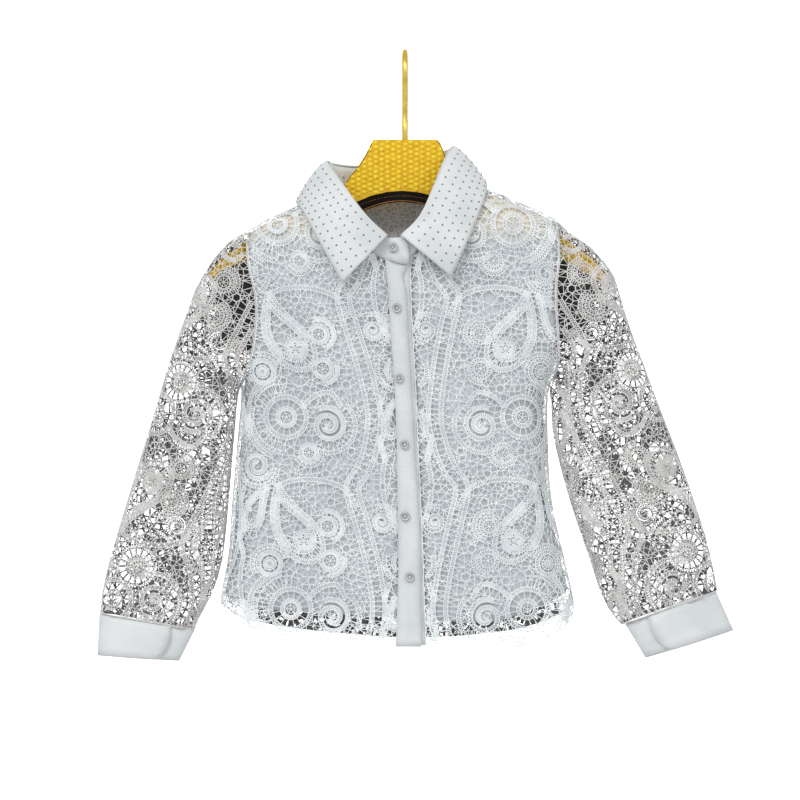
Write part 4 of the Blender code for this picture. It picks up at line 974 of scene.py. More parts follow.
# The armholes' depth shares, worked out once
STEPS = {(side, face): armhole_steps(side, face) for side in SIDE_NAMES for face in (FRONT, BACK)}


def linear(r, g, b):
    """A display colour, 0 to 255, as linear light."""
    return tuple((c / 255 / 12.92) if c <= 10 else ((c / 255 + 0.055) / 1.055) ** 2.4 for c in (r, g, b))


def polar(across, up, reach, angle):
    """A point at a reach and an angle from a centre."""
    return across + reach * math.cos(angle), up + reach * math.sin(angle)


def ring_points(across, up, radius, step=CURVE_STEP):
    """A closed circle of points."""
    count = max(10, round(2 * math.pi * radius / step))
    return [polar(across, up, radius, 2 * math.pi * k / count) for k in range(count + 1)]


def spiral_points(across, up, radius, turn, turns=1.75):
    """A spiral inward from its radius."""
    count = max(14, round(2 * math.pi * radius * turns * 0.6 / 2.2))
    points = []
    for k in range(count + 1):
        share = k / count
        reach = radius * (1.0 - (1.0 - SPIRAL_INNER) * share)
        points.append(polar(across, up, reach, turn + 2 * math.pi * turns * share))
    return points


def leaf_loop(across, up, half_long, half_wide, lean, size):
    """A drop-shaped loop whose tip curls to one side."""
    points = []
    count = max(16, round(5.0 * half_long * size / CURVE_STEP))
    for k in range(count + 1):
        angle = 2 * math.pi * k / count
        x = half_long * size * math.cos(angle)
        y = half_wide * size * math.sin(angle) * (0.5 - 0.5 * math.cos(angle)) ** 0.45
        y += LEAF_CURL * max(x, 0.0) ** 2
        points.append((across + x * math.cos(lean) - y * math.sin(lean),
                       up + x * math.sin(lean) + y * math.cos(lean)))
    return points


def flower_loop(across, up, radius, turn, size=1.0):
    """A closed loop of five rounded petals."""
    count = 60
    points = []
    for k in range(count + 1):
        angle = 2 * math.pi * k / count
        reach = radius * size * (0.60 + 0.40 * abs(math.cos(2.5 * angle)) ** 0.8)
        points.append(polar(across, up, reach, angle + turn))
    return points


def spokes(across, up, inner, outer, count, turn):
    """Straight threads between two radii."""
    angles = [turn + 2 * math.pi * k / count for k in range(count)]
    return [[polar(across, up, reach, angle) for reach in (inner, outer)] for angle in angles]


def band_lines():
    """The two tapes of the ladder band, and the rungs between them."""
    count = 76
    middle = []
    for k in range(count + 1):
        up = REPEAT_HIGH * k / count
        middle.append((read_rows(BAND_ROWS, up, 1), up))
    left, right = shifted(middle, BAND_HALF), shifted(middle, -BAND_HALF)
    return [left, right], [[a, b] for a, b in list(zip(left, right))[::2]]


def motif_lines(kind, across, up, radius, turn):
    """The tapes and the loose threads of one round motif."""
    def ring(size, step=CURVE_STEP):
        return ring_points(across, up, radius * size, step)

    def rays(inner, outer, count, start=turn):
        return spokes(across, up, radius * inner, radius * outer, count, start)

    if kind == "wheel":
        count = max(8, round(radius * 0.8))
        return [ring(1.0), ring(0.42)], rays(0.42, 1.0, count) + [ring(0.2, 1.6)] + rays(0.0, 0.42, 5)
    if kind == "star":
        return [], rays(0.0, 1.0, 8) + [ring_points(across, up, 1.4, 1.2)]
    if kind == "snail":
        small = spiral_points(across, up, radius * 0.2, turn, 1.5)
        return [spiral_points(across, up, radius, turn)], [small]
    if kind == "flower":
        petals = [flower_loop(across, up, radius, turn, size) for size in (1.0, 0.72)]
        middle = rays(0.25, 0.66, 5, turn + math.pi / 5) + rays(0.0, 0.25, 6)
        return [petals[0], ring(0.25)], [petals[1]] + middle
    return [ring(1.0)], [ring(0.5, 2.0)] + rays(0.0, 1.0, 7)


def repeat_lines():
    """One repeat of the lace: its tapes, and its loose threads inside the motifs."""
    tapes, threads = band_lines()
    for motif in MOTIFS:
        more_tapes, more_threads = motif_lines(*motif)
        tapes += more_tapes
        threads += more_threads
    for across, up, radius, start, sweep, inner in ARCS:
        count = max(6, round(radius * sweep / CURVE_STEP))
        angles = [start + sweep * k / count for k in range(count + 1)]
        tapes.append([polar(across, up, radius, angle) for angle in angles])
        if inner:
            threads += [[polar(across, up, reach, angle) for reach in (inner, radius)]
                        for angle in angles[::2]]
    for across, up, half_long, half_wide, lean in LEAVES:
        outer, inner = [leaf_loop(across, up, half_long, half_wide, lean, size)
                        for size in (1.0, LADDER_SHARE)]
        tapes += [outer, inner]
        for k in range(0, len(outer) - 1, 2):
            share = k / (len(outer) - 1)
            threads.append([outer[k], inner[round(share * (len(inner) - 1))]])
    tapes += [curve_through(points, 2.8) for points in SWEEPS]
    return tapes, threads


def inside_many(points, outline):
    """Which of many points lie inside an outline."""
    hit = np.zeros(len(points), bool)
    for (ax, ay), (bx, by) in zip(outline, outline[1:] + outline[:1]):
        crosses = (ay > points[:, 1]) != (by > points[:, 1])
        if ay != by:
            hit ^= crosses & (points[:, 0] < ax + (bx - ax) * (points[:, 1] - ay) / (by - ay))
    return hit


def distance_many(points, line):
    """The distance of many points to the nearest point of an open line."""
    nearest = np.full(len(points), 1e9)
    for a, b in zip(line, line[1:]):
        a, run = np.array(a), np.array(b) - np.array(a)
        t = np.clip(((points - a) @ run) / max(float(run @ run), 1e-9), 0, 1)
        nearest = np.minimum(nearest, np.linalg.norm(points - a - t[:, None] * run, axis=1))
    return nearest


def make_chart(place, outline, face):
    """A form's points and outward directions on a grid of cloth distances over an outline."""
    low, high = np.min(outline, axis=0), np.max(outline, axis=0)
    us, vs = [np.arange(low[k] - CHART_STEP, high[k] + 2 * CHART_STEP, CHART_STEP) for k in range(2)]
    points = np.array([[tuple(place(u, v)) for v in vs] for u in us])
    normals = np.cross(np.gradient(points, axis=0), np.gradient(points, axis=1))
    length = np.linalg.norm(normals, axis=2)
    if normals[..., 1].sum() * face < 0:
        normals = -normals
    middle = len(us) // 2
    for i in list(range(middle, len(us))) + list(range(middle, -1, -1)):
        back = i - 1 if i > middle else i + 1
        weak = length[i] < WEAK_NORMAL * CHART_STEP * CHART_STEP
        if i != middle:
            normals[i][weak] = normals[back][weak]
            length[i][weak] = length[back][weak]
    normals /= np.maximum(length, 1e-9)[..., None]
    return {"low": (us[0], vs[0]), "points": points, "normals": normals}


def lay(chart, flat):
    """Flat points (across, up, lift) laid on a charted form."""
    size = chart["points"].shape[:2]
    at = (flat[:, :2] - np.array(chart["low"])) / CHART_STEP
    at = np.clip(at, 0, np.array(size) - 1.001)
    cell = at.astype(int)
    share = at - cell
    result = []
    for key in ("points", "normals"):
        grid = chart[key]
        total = 0
        for i in (0, 1):
            for j in (0, 1):
                weight = (share[:, 0] if i else 1 - share[:, 0]) * (share[:, 1] if j else 1 - share[:, 1])
                total = total + weight[:, None] * grid[cell[:, 0] + i, cell[:, 1] + j]
        result.append(total)
    return result[0] + result[1] * flat[:, 2:3]


def ridges(starts, ends, halves, lift, roof):
    """Threads between flat points, each a narrow roof."""
    run = ends - starts
    length = np.maximum(np.linalg.norm(run, axis=1), 1e-6)
    side = np.stack([-run[:, 1], run[:, 0]], axis=1) / length[:, None]
    corners = []
    top, faces = roof
    for base in (starts, ends):
        for shift, rise in ((-1, 0), (0, top), (1, 0)):
            corners.append(np.column_stack([base + side * (halves * shift)[:, None], lift + halves * rise]))
    corners = np.stack(corners, axis=1).reshape(-1, 3)
    first = np.arange(len(starts))[:, None] * THREAD_CORNERS
    return corners, np.concatenate([first + np.array(face) for face in faces])


def line_pieces(lines):
    """The straight stretches of many lines, as starts and ends."""
    starts, ends = [], []
    for line in lines:
        starts += line[:-1]
        ends += line[1:]
    return np.array(starts, float).reshape(-1, 2), np.array(ends, float).reshape(-1, 2)


def repeats_over(lines, shift, mirror, low, high):
    """Every copy of the repeat's lines that comes near a box of cloth distances."""
    found = []
    for column in range(-4, 5):
        for row in range(-6, 7):
            for line in lines:
                line = np.array(line, float)
                u = mirror * (line[:, 0] + column * REPEAT_WIDE) + shift[0]
                v = line[:, 1] + (row + column % 2 / 2) * REPEAT_HIGH + shift[1]
                if u.max() > low[0] and u.min() < high[0] and v.max() > low[1] and v.min() < high[1]:
                    found.append(list(zip(u, v)))
    return found


def clear_circles(shift, mirror, low, high):
    """The round motifs, which the net leaves free: centre and radius of every copy near a box."""
    circles = []
    for kind, across, up, radius, _ in MOTIFS:
        if kind != "snail":
            copies = repeats_over([[(across, up)]], shift, mirror, low, high)
            circles += [(np.array(copy[0]), radius) for copy in copies]
    return circles


def clipped(lines, outline, gaps, margin):
    """The runs of lines that lie inside an outline and clear of its gaps, by at least a margin."""
    runs = []
    centres = [(np.mean(ring, axis=0), math.dist(ring[0], np.mean(ring, axis=0))) for ring in gaps]
    closed = outline + outline[:1]
    for line in lines:
        points = np.array(line, float)
        keep = inside_many(points, outline)
        if keep.any():
            keep &= distance_many(points, closed) > margin
            for centre, radius in centres:
                keep &= np.linalg.norm(points - centre, axis=1) > radius + margin - EDGE_MARGIN
        run = []
        for point, good in zip(line, keep):
            if good:
                run.append(point)
            else:
                runs.append(run)
                run = []
        runs.append(run)
    return [run for run in runs if len(run) > 1]


def loose_points(outline, rims, gaps, circles, rng, seed):
    """The net's own points: an uneven grid, sparser in places, clear of edges, tapes, gaps and motifs."""
    loose = np.array(cloth_grid(outline, NET_STEP))
    loose = loose + rng.uniform(-NET_JITTER, NET_JITTER, loose.shape) * NET_STEP
    field = np.sin(loose[:, 0] / 9.0 + 1.3 * np.sin(loose[:, 1] / 13.0)) + np.sin(loose[:, 1] / 8.0 + seed)
    loose = loose[(field > 0.1) | (rng.random(len(loose)) < SPARSE_SHARE)]
    loose = loose[inside_many(loose, outline)]
    loose = loose[distance_many(loose, outline + outline[:1]) > EDGE_ROOM]
    near = np.full(len(loose), 1e9)
    for start in range(0, len(rims), 400):
        away = np.linalg.norm(loose[:, None] - rims[start:start + 400][None], axis=2)
        near = np.minimum(near, away.min(axis=1))
    loose = loose[near > TAPE_ROOM]
    for centre, radius in circles:
        loose = loose[np.linalg.norm(loose - centre, axis=1) > radius]
    for ring in gaps:
        centre = np.mean(ring, axis=0)
        loose = loose[np.linalg.norm(loose - centre, axis=1) > math.dist(ring[0], centre) + GAP_ROOM]
    return loose


def triangle_edges(flat, triangles):
    """Every edge of some triangles, and whether it is the longest side of both beside it."""
    sides = {}
    for triangle in triangles:
        ring = [tuple(sorted((triangle[k], triangle[(k + 1) % 3]))) for k in range(3)]
        lengths = [np.linalg.norm(flat[a] - flat[b]) for a, b in ring]
        for edge, length in zip(ring, lengths):
            sides.setdefault(edge, []).append(length >= max(lengths) - 1e-9)
    longest = np.array([all(flags) and len(flags) == 2 for flags in sides.values()])
    return np.array(list(sides), int), longest


def net_edges(outline, tapes, gaps, circles, seed):
    """The threads of the open ground: a net over loose points, the tapes' edges and the gaps' rims."""
    rng = np.random.default_rng(seed)
    rims, owners = [], []
    for i, tape in enumerate(tapes):
        for side in (TAPE_HALF, -TAPE_HALF):
            edge = shifted(tape, side)[::2]
            rims += edge
            owners += [i] * len(edge)
    loose = loose_points(outline, np.array(rims, float).reshape(-1, 2), gaps, circles, rng, seed)
    border = [tuple(np.array(a) + (np.array(b) - np.array(a)) * k / 3)
              for a, b in zip(outline, outline[1:] + outline[:1]) for k in range(3)]
    gap_points = [point for ring in gaps for point in ring]
    points = [Vector(point) for point in [*loose, *rims, *gap_points, *border]]
    owners = [LOOSE] * len(loose) + owners + [GAP_RIM] * len(gap_points) + [BORDER] * len(border)
    flat, _, triangles, origins, _, _ = delaunay_2d_cdt(points, [], [], 0, 1e-4)
    flat = np.array([tuple(point) for point in flat])
    owner = np.array([owners[origin[0]] if origin else CROSSING for origin in origins])
    edges, longest = triangle_edges(flat, triangles)
    start, end = flat[edges[:, 0]], flat[edges[:, 1]]
    middle = (start + end) / 2
    length = np.linalg.norm(end - start, axis=1)
    first = owner[edges[:, 0]]
    same = first == owner[edges[:, 1]]
    keep = (length < LONGEST_THREAD) & inside_many(middle, outline)
    keep &= ~(longest & (rng.random(len(edges)) < LONG_SIDES_LEFT_OUT))
    keep &= ~(same & (first == BORDER))
    keep &= ~(same & (first >= 0) & (length < ALONG_TAPE))
    for ring in gaps:
        centre = np.mean(ring, axis=0)
        keep &= np.linalg.norm(middle - centre, axis=1) >= math.dist(ring[0], centre) * GAP_OPEN_SHARE
    for centre, radius in circles:
        keep &= np.linalg.norm(middle - centre, axis=1) > radius - TAPE_HALF
    return start[keep], end[keep]


def mesh_from(name, corners, faces, material):
    """One piece from arrays of points and of four-sided faces."""
    mesh = bpy.data.meshes.new(name)
    mesh.vertices.add(len(corners))
    mesh.vertices.foreach_set("co", (corners * MM).astype(np.float32).ravel())
    mesh.loops.add(faces.size)
    mesh.loops.foreach_set("vertex_index", faces.astype(np.int32).ravel())
    mesh.polygons.add(len(faces))
    mesh.polygons.foreach_set("loop_start", np.arange(0, faces.size, faces.shape[1], dtype=np.int32))
    mesh.update(calc_edges=True)
    mesh.validate()
    mesh.materials.append(material)
    thing = bpy.data.objects.new(name, mesh)
    bpy.context.scene.collection.objects.link(thing)
    return thing


def tape_stitches(tapes):
    """The zigzag of stitches between each tape's two cords."""
    stitches = []
    for tape in tapes:
        left, right = [np.array(shifted(tape, side)) for side in (TAPE_HALF, -TAPE_HALF)]
        for a, b, c, d in zip(left, left[1:], right, right[1:]):
            count = max(1, round(math.dist(a, b) / STITCH_STEP))
            for k in range(count):
                share, later = k / count, (k + 0.5) / count
                one, two = tuple(a + (b - a) * share), tuple(c + (d - c) * later)
                three = tuple(a + (b - a) * (k + 1) / count)
                stitches += [[one, two], [two, three]]
    return stitches


def add_lace(node, outline, form, face, layout, pattern, colours, style):
    """A node's lace panel: cords, stitches and net laid on its form. A second colour paints shade on its
    underside.
    """
    shift, mirror, seed, heights = layout
    roof, tape_roof, (wide_below, wide) = style
    low, high = np.min(outline, axis=0), np.max(outline, axis=0)
    gaps = lace_gaps(outline, shift, mirror, *heights)
    tapes, threads = [repeats_over(lines, shift, mirror, low, high) for lines in pattern]
    tapes = clipped(tapes, outline, gaps, TAPE_HALF + EDGE_MARGIN)
    threads = clipped(threads, outline, gaps, EDGE_MARGIN)
    cords = [outline + outline[:1]]
    cords += [shifted(tape, side) for tape in tapes for side in (TAPE_HALF, -TAPE_HALF)]
    cords += [[*ring, ring[0]] for ring in gaps]
    parts = []
    stitches = tape_stitches(tapes)
    for lines, radius, lift in ((cords, CORD_RADIUS, CORD_LIFT), (stitches, STITCH_RADIUS, 0.0)):
        start, end = line_pieces(lines)
        parts.append(ridges(start, end, np.full(len(start), radius), lift, tape_roof))
    net = net_edges(outline, tapes, gaps, clear_circles(shift, mirror, low, high), seed)
    spread = np.random.default_rng(seed + 50).uniform(*NET_SPREAD, len(net[0]))
    for (start, end), share, lift in ((line_pieces(threads), 1.0, 0.0), (net, spread, NET_LIFT)):
        radii = share * NET_RADIUS * np.where(start[:, 1] < wide_below, wide, 1.0)
        parts.append(ridges(start, end, radii, lift, roof))
    firsts = np.cumsum([0] + [len(points) for points, _ in parts])
    corners = lay(make_chart(form, outline, face), np.concatenate([points for points, _ in parts]))
    faces = np.concatenate([quads + first for (_, quads), first in zip(parts, firsts)])
    piece = mesh_from("lace_" + node, corners, faces, colours[0])
    if len(colours) > 1:
        piece.data.materials.append(colours[1])
        for polygon in piece.data.polygons:
            apexes = [k for k in polygon.vertices if k % THREAD_CORNERS in THREAD_APEXES]
            polygon.material_index = int(not apexes)
    finish_piece(piece, node)


def body_form(across, up, lift, face):
    """The body's form with its fine creases."""
    point = body_point(across, up, lift, face)
    point.y += face * fold_height(FINE_FOLDS[face], point.x, point.z) * min(1.0, abs(point.y) / 12.0)
    return point


def sleeve_form(cloth, down, lift, side, face):
    """A sleeve's form with its fine creases, which fade out at the armhole."""
    point = sleeve_point(cloth, down, lift, side, face)
    away, _ = armhole_step(point.x, point.z, side, face)
    fade = smooth(away / 20.0) * min(1.0, abs(point.y) / 10.0)
    point.y += face * fold_height(SLEEVE_FINE[face], cloth, down) * fade
    point.y = max(-SLEEVE_DEEPEST, min(point.y, SLEEVE_DEEPEST))
    return point


def hold(piece):
    """Ties a piece to the one body."""
    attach(piece, "root")


def finish_piece(piece, node):
    """Puts a piece in a node's place. Threads closed by an underside stay flat-sided."""
    if len(piece.data.materials) == 1:
        piece.data.shade_smooth()
    hold(piece)
    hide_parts(node)


def add_body_lace(materials):
    """The seven lace panels: two fronts, the back and two halves of each sleeve."""
    pattern = repeat_lines()
    for side, name in SIDE_NAMES.items():
        layout = ((side * FRONT_SHIFT, REPEAT_BASE), side, 3 + side, (HEM_BAND_TOP, 0.0))
        add_lace("front_" + name, front_outline(side, FRONT_HEMS[side]),
                 lambda u, v: body_form(u, v, LACE_LIFT, FRONT), FRONT, layout, pattern,
                 [materials["lace"]], OPEN_STYLE)
    # The back's thread undersides are painted shade, dark where they show through the front's hem
    layout = ((BACK_SHIFT, REPEAT_BASE), 1, 9, (HEM_BAND_TOP, 0.0))
    add_lace("back", back_outline(BACK_HEM), lambda u, v: body_form(u, v, LACE_LIFT, BACK), BACK, layout,
             pattern, [materials["lace"], materials["back_lace_painted_shade"]], BACK_STYLE)
    # The sleeves' front halves take the darker copy of the lace as painted shade, and the back halves'
    # undersides are painted shade
    halves = (
        (FRONT, "front", ["sleeve_lace_painted_shade"], OPEN_STYLE),
        (BACK, "back", ["lace", "sleeve_back_painted_shade"], SLEEVE_BACK_STYLE),
    )
    for side, name in SIDE_NAMES.items():
        for face, half, colours, style in halves:
            shift = (SLEEVE_SHIFT[0] + 22.0 * face, SLEEVE_SHIFT[1] + 30.0 * face)
            layout = (shift, -face, 20 + 3 * side + face, (0.0, GATHER_TOP))
            add_lace("sleeve_" + name + "_" + half, sleeve_outline(side),
                     lambda u, v: sleeve_form(u, v, 0.0, side, face), face, layout, pattern,
                     [materials[colour] for colour in colours], style)


def cloth_grid(outline, step):
    """Points in staggered rows over an outline's box."""
    low, high = np.min(outline, axis=0), np.max(outline, axis=0)
    return [(u, v) for i, v in enumerate(np.arange(low[1], high[1], step * ROW_SHARE))
            for u in np.arange(low[0] + (i % 2) * step / 2, high[0], step)]


def add_shell(node, outline, step, place, wall, face, material):
    """A node's smooth cloth: a thin wall over an outline in cloth distances."""
    piece = add_wall(node + "_cloth", panel_mesh(node, outline, step, place), wall, face, material)
    finish_piece(piece, node)


def add_linings(materials):
    """The plain linings, which end above the lace's hem."""
    panels = [("lining_front_" + name, front_outline(side, LINING_HEMS[side]), FRONT, "lining")
              for side, name in SIDE_NAMES.items()]
    # The back lining takes a lighter copy of the lining, painted light for its shaded inside
    panels.append(("lining_back", back_outline(BACK_LINING_HEM), BACK, "lining_back_painted_light"))
    for node, outline, face, colour in panels:
        add_shell(node, outline, LINING_GRID, lambda u, v: body_form(u, v, LINING_LIFT, face), LINING_WALL,
                  face, materials[colour])


def dashes(place, path, lift, sewing, face_of):
    """Stitches along a path on a form, as three-sided prisms with corners in space."""
    radius, dash, gap = sewing
    corners, faces = [], []
    points = [np.array(tuple(place(u, v))) for u, v in path]
    normals = [np.array(tuple(face_of(u, v))) for u, v in path]
    lengths = np.concatenate([[0], np.cumsum([np.linalg.norm(b - a) for a, b in zip(points, points[1:])])])
    at = FIRST_STITCH
    while at + dash < lengths[-1]:
        ends = []
        for where in (at, at + dash):
            ends.append([np.array([np.interp(where, lengths, [p[k] for p in group]) for k in range(3)])
                         for group in (points, normals)])
        (a, normal), (b, _) = ends
        run = (b - a) / np.linalg.norm(b - a)
        side = np.cross(run, normal)
        first = len(corners)
        for base in (a, b):
            for angle in (90, 210, 330):
                corners.append(base + normal * (lift + radius * math.sin(math.radians(angle)))
                               + side * radius * math.cos(math.radians(angle)))
        faces += [[first + k for k in quad] for quad in ((0, 1, 4, 3), (1, 2, 5, 4), (2, 0, 3, 5))]
        at += dash + gap
    return corners, faces


def add_stitching(name, groups, material):
    """One piece from several runs of stitches."""
    corners, faces = [], []
    for points, quads in groups:
        faces += [[k + len(corners) for k in quad] for quad in quads]
        corners += points
    hold(mesh_from(name, np.array(corners), np.array(faces), material))


def strip_place(u, v, lift):
    """The button strip's form, with a fine ripple across it."""
    ripple = 0.45 * math.sin(v / 7.3 + 0.5 * math.sin(v / 19.0)) * abs(u) / 12.0
    return body_form(u, v, lift, FRONT) + Vector((0, -ripple, 0))


def add_placket(materials):
    """The strip's two layers, and the stitching down the top one's edges."""
    under_inset = PANEL_UNDER_PLACKET + 2 * SEAM_GAP
    strips = (
        ("placket_top", PLACKET_LIFT, 0.0, "right", PLACKET_TOPS, PLACKET_BOTTOM),
        ("placket_under", UNDER_LIFT, under_inset, "under", UNDER_TOPS, UNDER_BOTTOM),
    )
    for node, lift, inset, column, tops, bottom in strips:
        add_shell(node, strip_outline(inset, column, tops, bottom), STRIP_GRID,
                  lambda u, v: strip_place(u, v, lift), SATIN_WALL, FRONT, materials["satin"])

    def place(u, v):
        return strip_place(u, v, PLACKET_LIFT)

    stitched = []
    for column, inset in (("left", STRIP_SEAM), ("right", -STRIP_SEAM)):
        path = [(placket_edge(column, z) + inset, z) for z in spaced_values(-220, -586, 8)]
        stitched.append(dashes(place, path, SATIN_WALL / 2, SEWING,
                               lambda u, v: surface_normal(place, u, v, FRONT)))
    add_stitching("placket_stitches", stitched, materials["thread"])


def outward_normal(place, u, v, step_u, step_v):
    """The direction away from the neck's middle, square to a form."""
    across = place(u + step_u, v) - place(u - step_u, v)
    along = place(u, v + step_v) - place(u, v - step_v)
    normal = across.cross(along).normalized()
    return normal if normal.dot(outward(place(u, v))) > 0 else -normal


def fine_leaf(share, fall):
    """The collar's turned-down leaf, with a little waver along it."""
    point = leaf_point(min(max(share, 0.0), 1.0), min(max(fall, 0.0), 1.0))
    wave = 0.5 * math.sin(share * 34.0) * math.sin(fall * 3.0)
    trough = LEAF_TROUGH * math.exp(-((fall - 0.42) / 0.17) ** 2) * smooth((0.30 - share) / 0.12)
    return point + outward(point) * (wave - trough)


def leaf_normal(share, fall):
    """The direction out of the leaf, square to it."""
    return outward_normal(fine_leaf, share, fall, 0.004, 0.02)


def add_dome(corners, faces, rings, top):
    """A faceted dome: rings of points from its foot up, and the point on top."""
    first, count = len(corners), len(rings[0])
    for ring in rings:
        corners += ring
    corners.append(top)
    for level in range(len(rings)):
        start = first + level * count
        for k in range(count):
            a, b = start + k, start + (k + 1) % count
            if level == len(rings) - 1:
                faces.append((a, b, first + len(rings) * count))
            else:
                faces += [(a, b, b + count), (a, b + count, a + count)]


def add_stud(corners, faces, centre, normal):
    """A small faceted dome that stands on a cloth."""
    side = normal.orthogonal().normalized()
    other = normal.cross(side)
    angles = [2 * math.pi * k / STUD_SIDES for k in range(STUD_SIDES)]
    rings = [[tuple(centre + (side * math.cos(a) + other * math.sin(a)) * STUD_RADIUS * reach
                    + normal * STUD_RADIUS * high) for a in angles] for reach, high in STUD_RINGS]
    add_dome(corners, faces, rings, tuple(centre + normal * STUD_RADIUS * STUD_TOP))


def add_collar_leaf(materials):
    """The collar's leaf, with the stitching along its edge and ends."""
    shares = spaced_values(0.0, 1.0, 1 / LEAF_STATIONS)
    falls = [*FOLD_FALLS, *spaced_values(0.25, 1.0, 0.09)]
    rows = [[fine_leaf(share, fall) for share in shares] for fall in falls]
    mesh = grid_mesh("collar_leaf", rows)
    piece = add_wall("collar_leaf_cloth", mesh, COLLAR_WALL, FRONT, materials["satin"])
    finish_piece(piece, "collar_leaf")
    first, last = LEAF_SEAM_ENDS
    paths = [[(share, LEAF_SEAM_FALL) for share in spaced_values(first, last, 1 / LEAF_STATIONS)]]
    paths += [[(share, fall) for fall in spaced_values(0.12, LEAF_SEAM_FALL, 0.08)]
              for share in LEAF_SEAM_ENDS]
    return [dashes(fine_leaf, path, COLLAR_WALL / 2, COLLAR_SEWING, leaf_normal) for path in paths]


def add_collar_stand(materials):
    """The collar's stand, with the stitching round its tab."""
    corner = [(u - TAB_LONG, v) for u, v in TAB_CORNER]
    end = STAND_LONG + UNDER_END_LONG
    outline = corner + [(u, STAND_HIGH) for u in spaced_values(-TAB_LONG + 16.0, end, 5)]
    outline += [(u, 0.0) for u in spaced_values(end, -TAB_LONG + 12.0, 5)]
    add_shell("collar_stand", outline, STAND_GRID, stand_point, COLLAR_WALL, FRONT, materials["satin"])
    path = curve_through([(u - TAB_LONG, v) for u, v in TAB_SEAM], 2.0)
    return [dashes(stand_point, path, COLLAR_WALL / 2, COLLAR_SEWING,
                   lambda u, v: surface_normal(stand_point, u, v, FRONT))]


def add_collar_studs(materials):
    """Studs in staggered rows over the leaf, and in two rows inside the stand."""
    shares = spaced_values(0.0, 1.0, 1 / LEAF_STATIONS)
    corners, faces = [], []
    for row in range(STUD_ROWS):
        fall = 0.10 + 0.80 * row / (STUD_ROWS - 1)
        line = [fine_leaf(share, fall) for share in shares]
        lengths = np.concatenate([[0], np.cumsum([(b - a).length for a, b in zip(line, line[1:])])])
        for at in np.arange(4.5 + 4.2 * (row % 2), lengths[-1] - 4.0, STUD_STEP):
            share = float(np.interp(at, lengths, shares))
            normal = leaf_normal(share, fall)
            add_stud(corners, faces, fine_leaf(share, fall) + normal * COLLAR_WALL / 2, normal)
    for row, rise in enumerate(STAND_STUD_RISES):
        for along in np.arange(60.0 + 4.3 * row, 250.0, STUD_STEP):
            normal = -outward_normal(stand_point, along, rise, 2.0, 2.0)
            add_stud(corners, faces, stand_point(along, rise) + normal * COLLAR_WALL / 2, normal)
    hold(mesh_from("collar_studs", np.array(corners), np.array(faces), materials["stud"]))


def add_collar_pieces(materials):
    """The collar's leaf, stand, stitching and studs."""
    stitched = add_collar_leaf(materials) + add_collar_stand(materials)
    add_stitching("collar_stitches", stitched, materials["thread"])
    add_collar_studs(materials)


def cuff_place(u, v, side):
    """A point of a cuff from cloth distances round and down it."""
    return cuff_point(u / CUFF_ROUND, v / CUFF_HIGH, side)


def cuff_normal(u, v, side):
    """The direction out of a cuff, square to it."""
    step = 0.8
    point = cuff_place(u, v, side)
    across = cuff_place(u + step, v, side) - cuff_place(u - step, v, side)
    along = cuff_place(u, v + step, side) - cuff_place(u, v - step, side)
    normal = across.cross(along).normalized()
    middle = (cuff_place(u + CUFF_ROUND / 2, v, side) + point) / 2
    return normal if normal.dot(point - middle) > 0 else -normal


def add_cuff_pieces(materials):
    """The two cuffs, each with three runs of stitching."""
    last = CUFF_START + 1.0 + CUFF_LAP
    corner = [(last + turn, fall) for turn, fall in CUFF_END]
    bottom = [(turn, 1.0) for turn in spaced_values(corner[-1][0], CUFF_START, 0.012)][1:]
    top = [(turn, 0.0) for turn in spaced_values(CUFF_START, last, 0.012)][:-1]
    outline = [(turn * CUFF_ROUND, fall * CUFF_HIGH) for turn, fall in corner + bottom + top]
    turns = spaced_values(CUFF_START + 0.02, last - 0.01, 0.02)
    paths = [[(turn * CUFF_ROUND, fall * CUFF_HIGH) for turn in turns] for fall in CUFF_SEAM_FALLS]
    paths.append([((last + turn - 0.012) * CUFF_ROUND, fall * CUFF_HIGH) for turn, fall in CUFF_END[:-1]])
    for side, name in SIDE_NAMES.items():
        def place(u, v):
            return cuff_place(u, v, side)

        add_shell("cuff_" + name, outline, CUFF_GRID, place, SATIN_WALL, FRONT, materials["satin"])
        stitched = [dashes(place, path, SATIN_WALL / 2, SEWING, lambda u, v: cuff_normal(u, v, side))
                    for path in paths]
        add_stitching("cuff_" + name + "_stitches", stitched, materials["thread"])


def add_hanger_weave(materials):
    """The hanger's woven cover: small oval domes on both faces of the board."""
    outline = [point for line in (BOARD_TOP[RIGHT], BOARD_TOP[LEFT], BOARD_LOWER)
               for point in curve_through(line, 20)]
    spots = [(column * WEAVE_WIDE, (row + column % 2 / 2) * WEAVE_HIGH)
             for column in range(-35, 36) for row in range(-48, -15)]
    angles = [2 * math.pi * k / WEAVE_SIDES for k in range(WEAVE_SIDES)]
    corners, faces = [], []
    for spot in spots:
        if not inside(spot, outline) or outline_distance(spot, outline) <= WEAVE_EDGE:
            continue
        x, z = spot
        for face in (FRONT, BACK):
            rings = [[(x + WEAVE_WIDE * 0.40 * reach * math.cos(a), face * (BOARD_HALF + WEAVE_TALL * rise),
                       z + WEAVE_HIGH * 0.46 * reach * math.sin(a)) for a in angles]
                     for reach, rise in WEAVE_RINGS]
            add_dome(corners, faces, rings, (x, face * (BOARD_HALF + WEAVE_TALL), z))
    piece = mesh_from("hanger_weave", np.array(corners), np.array(faces), materials["weave"])
    piece.data.shade_smooth()
    hold(piece)


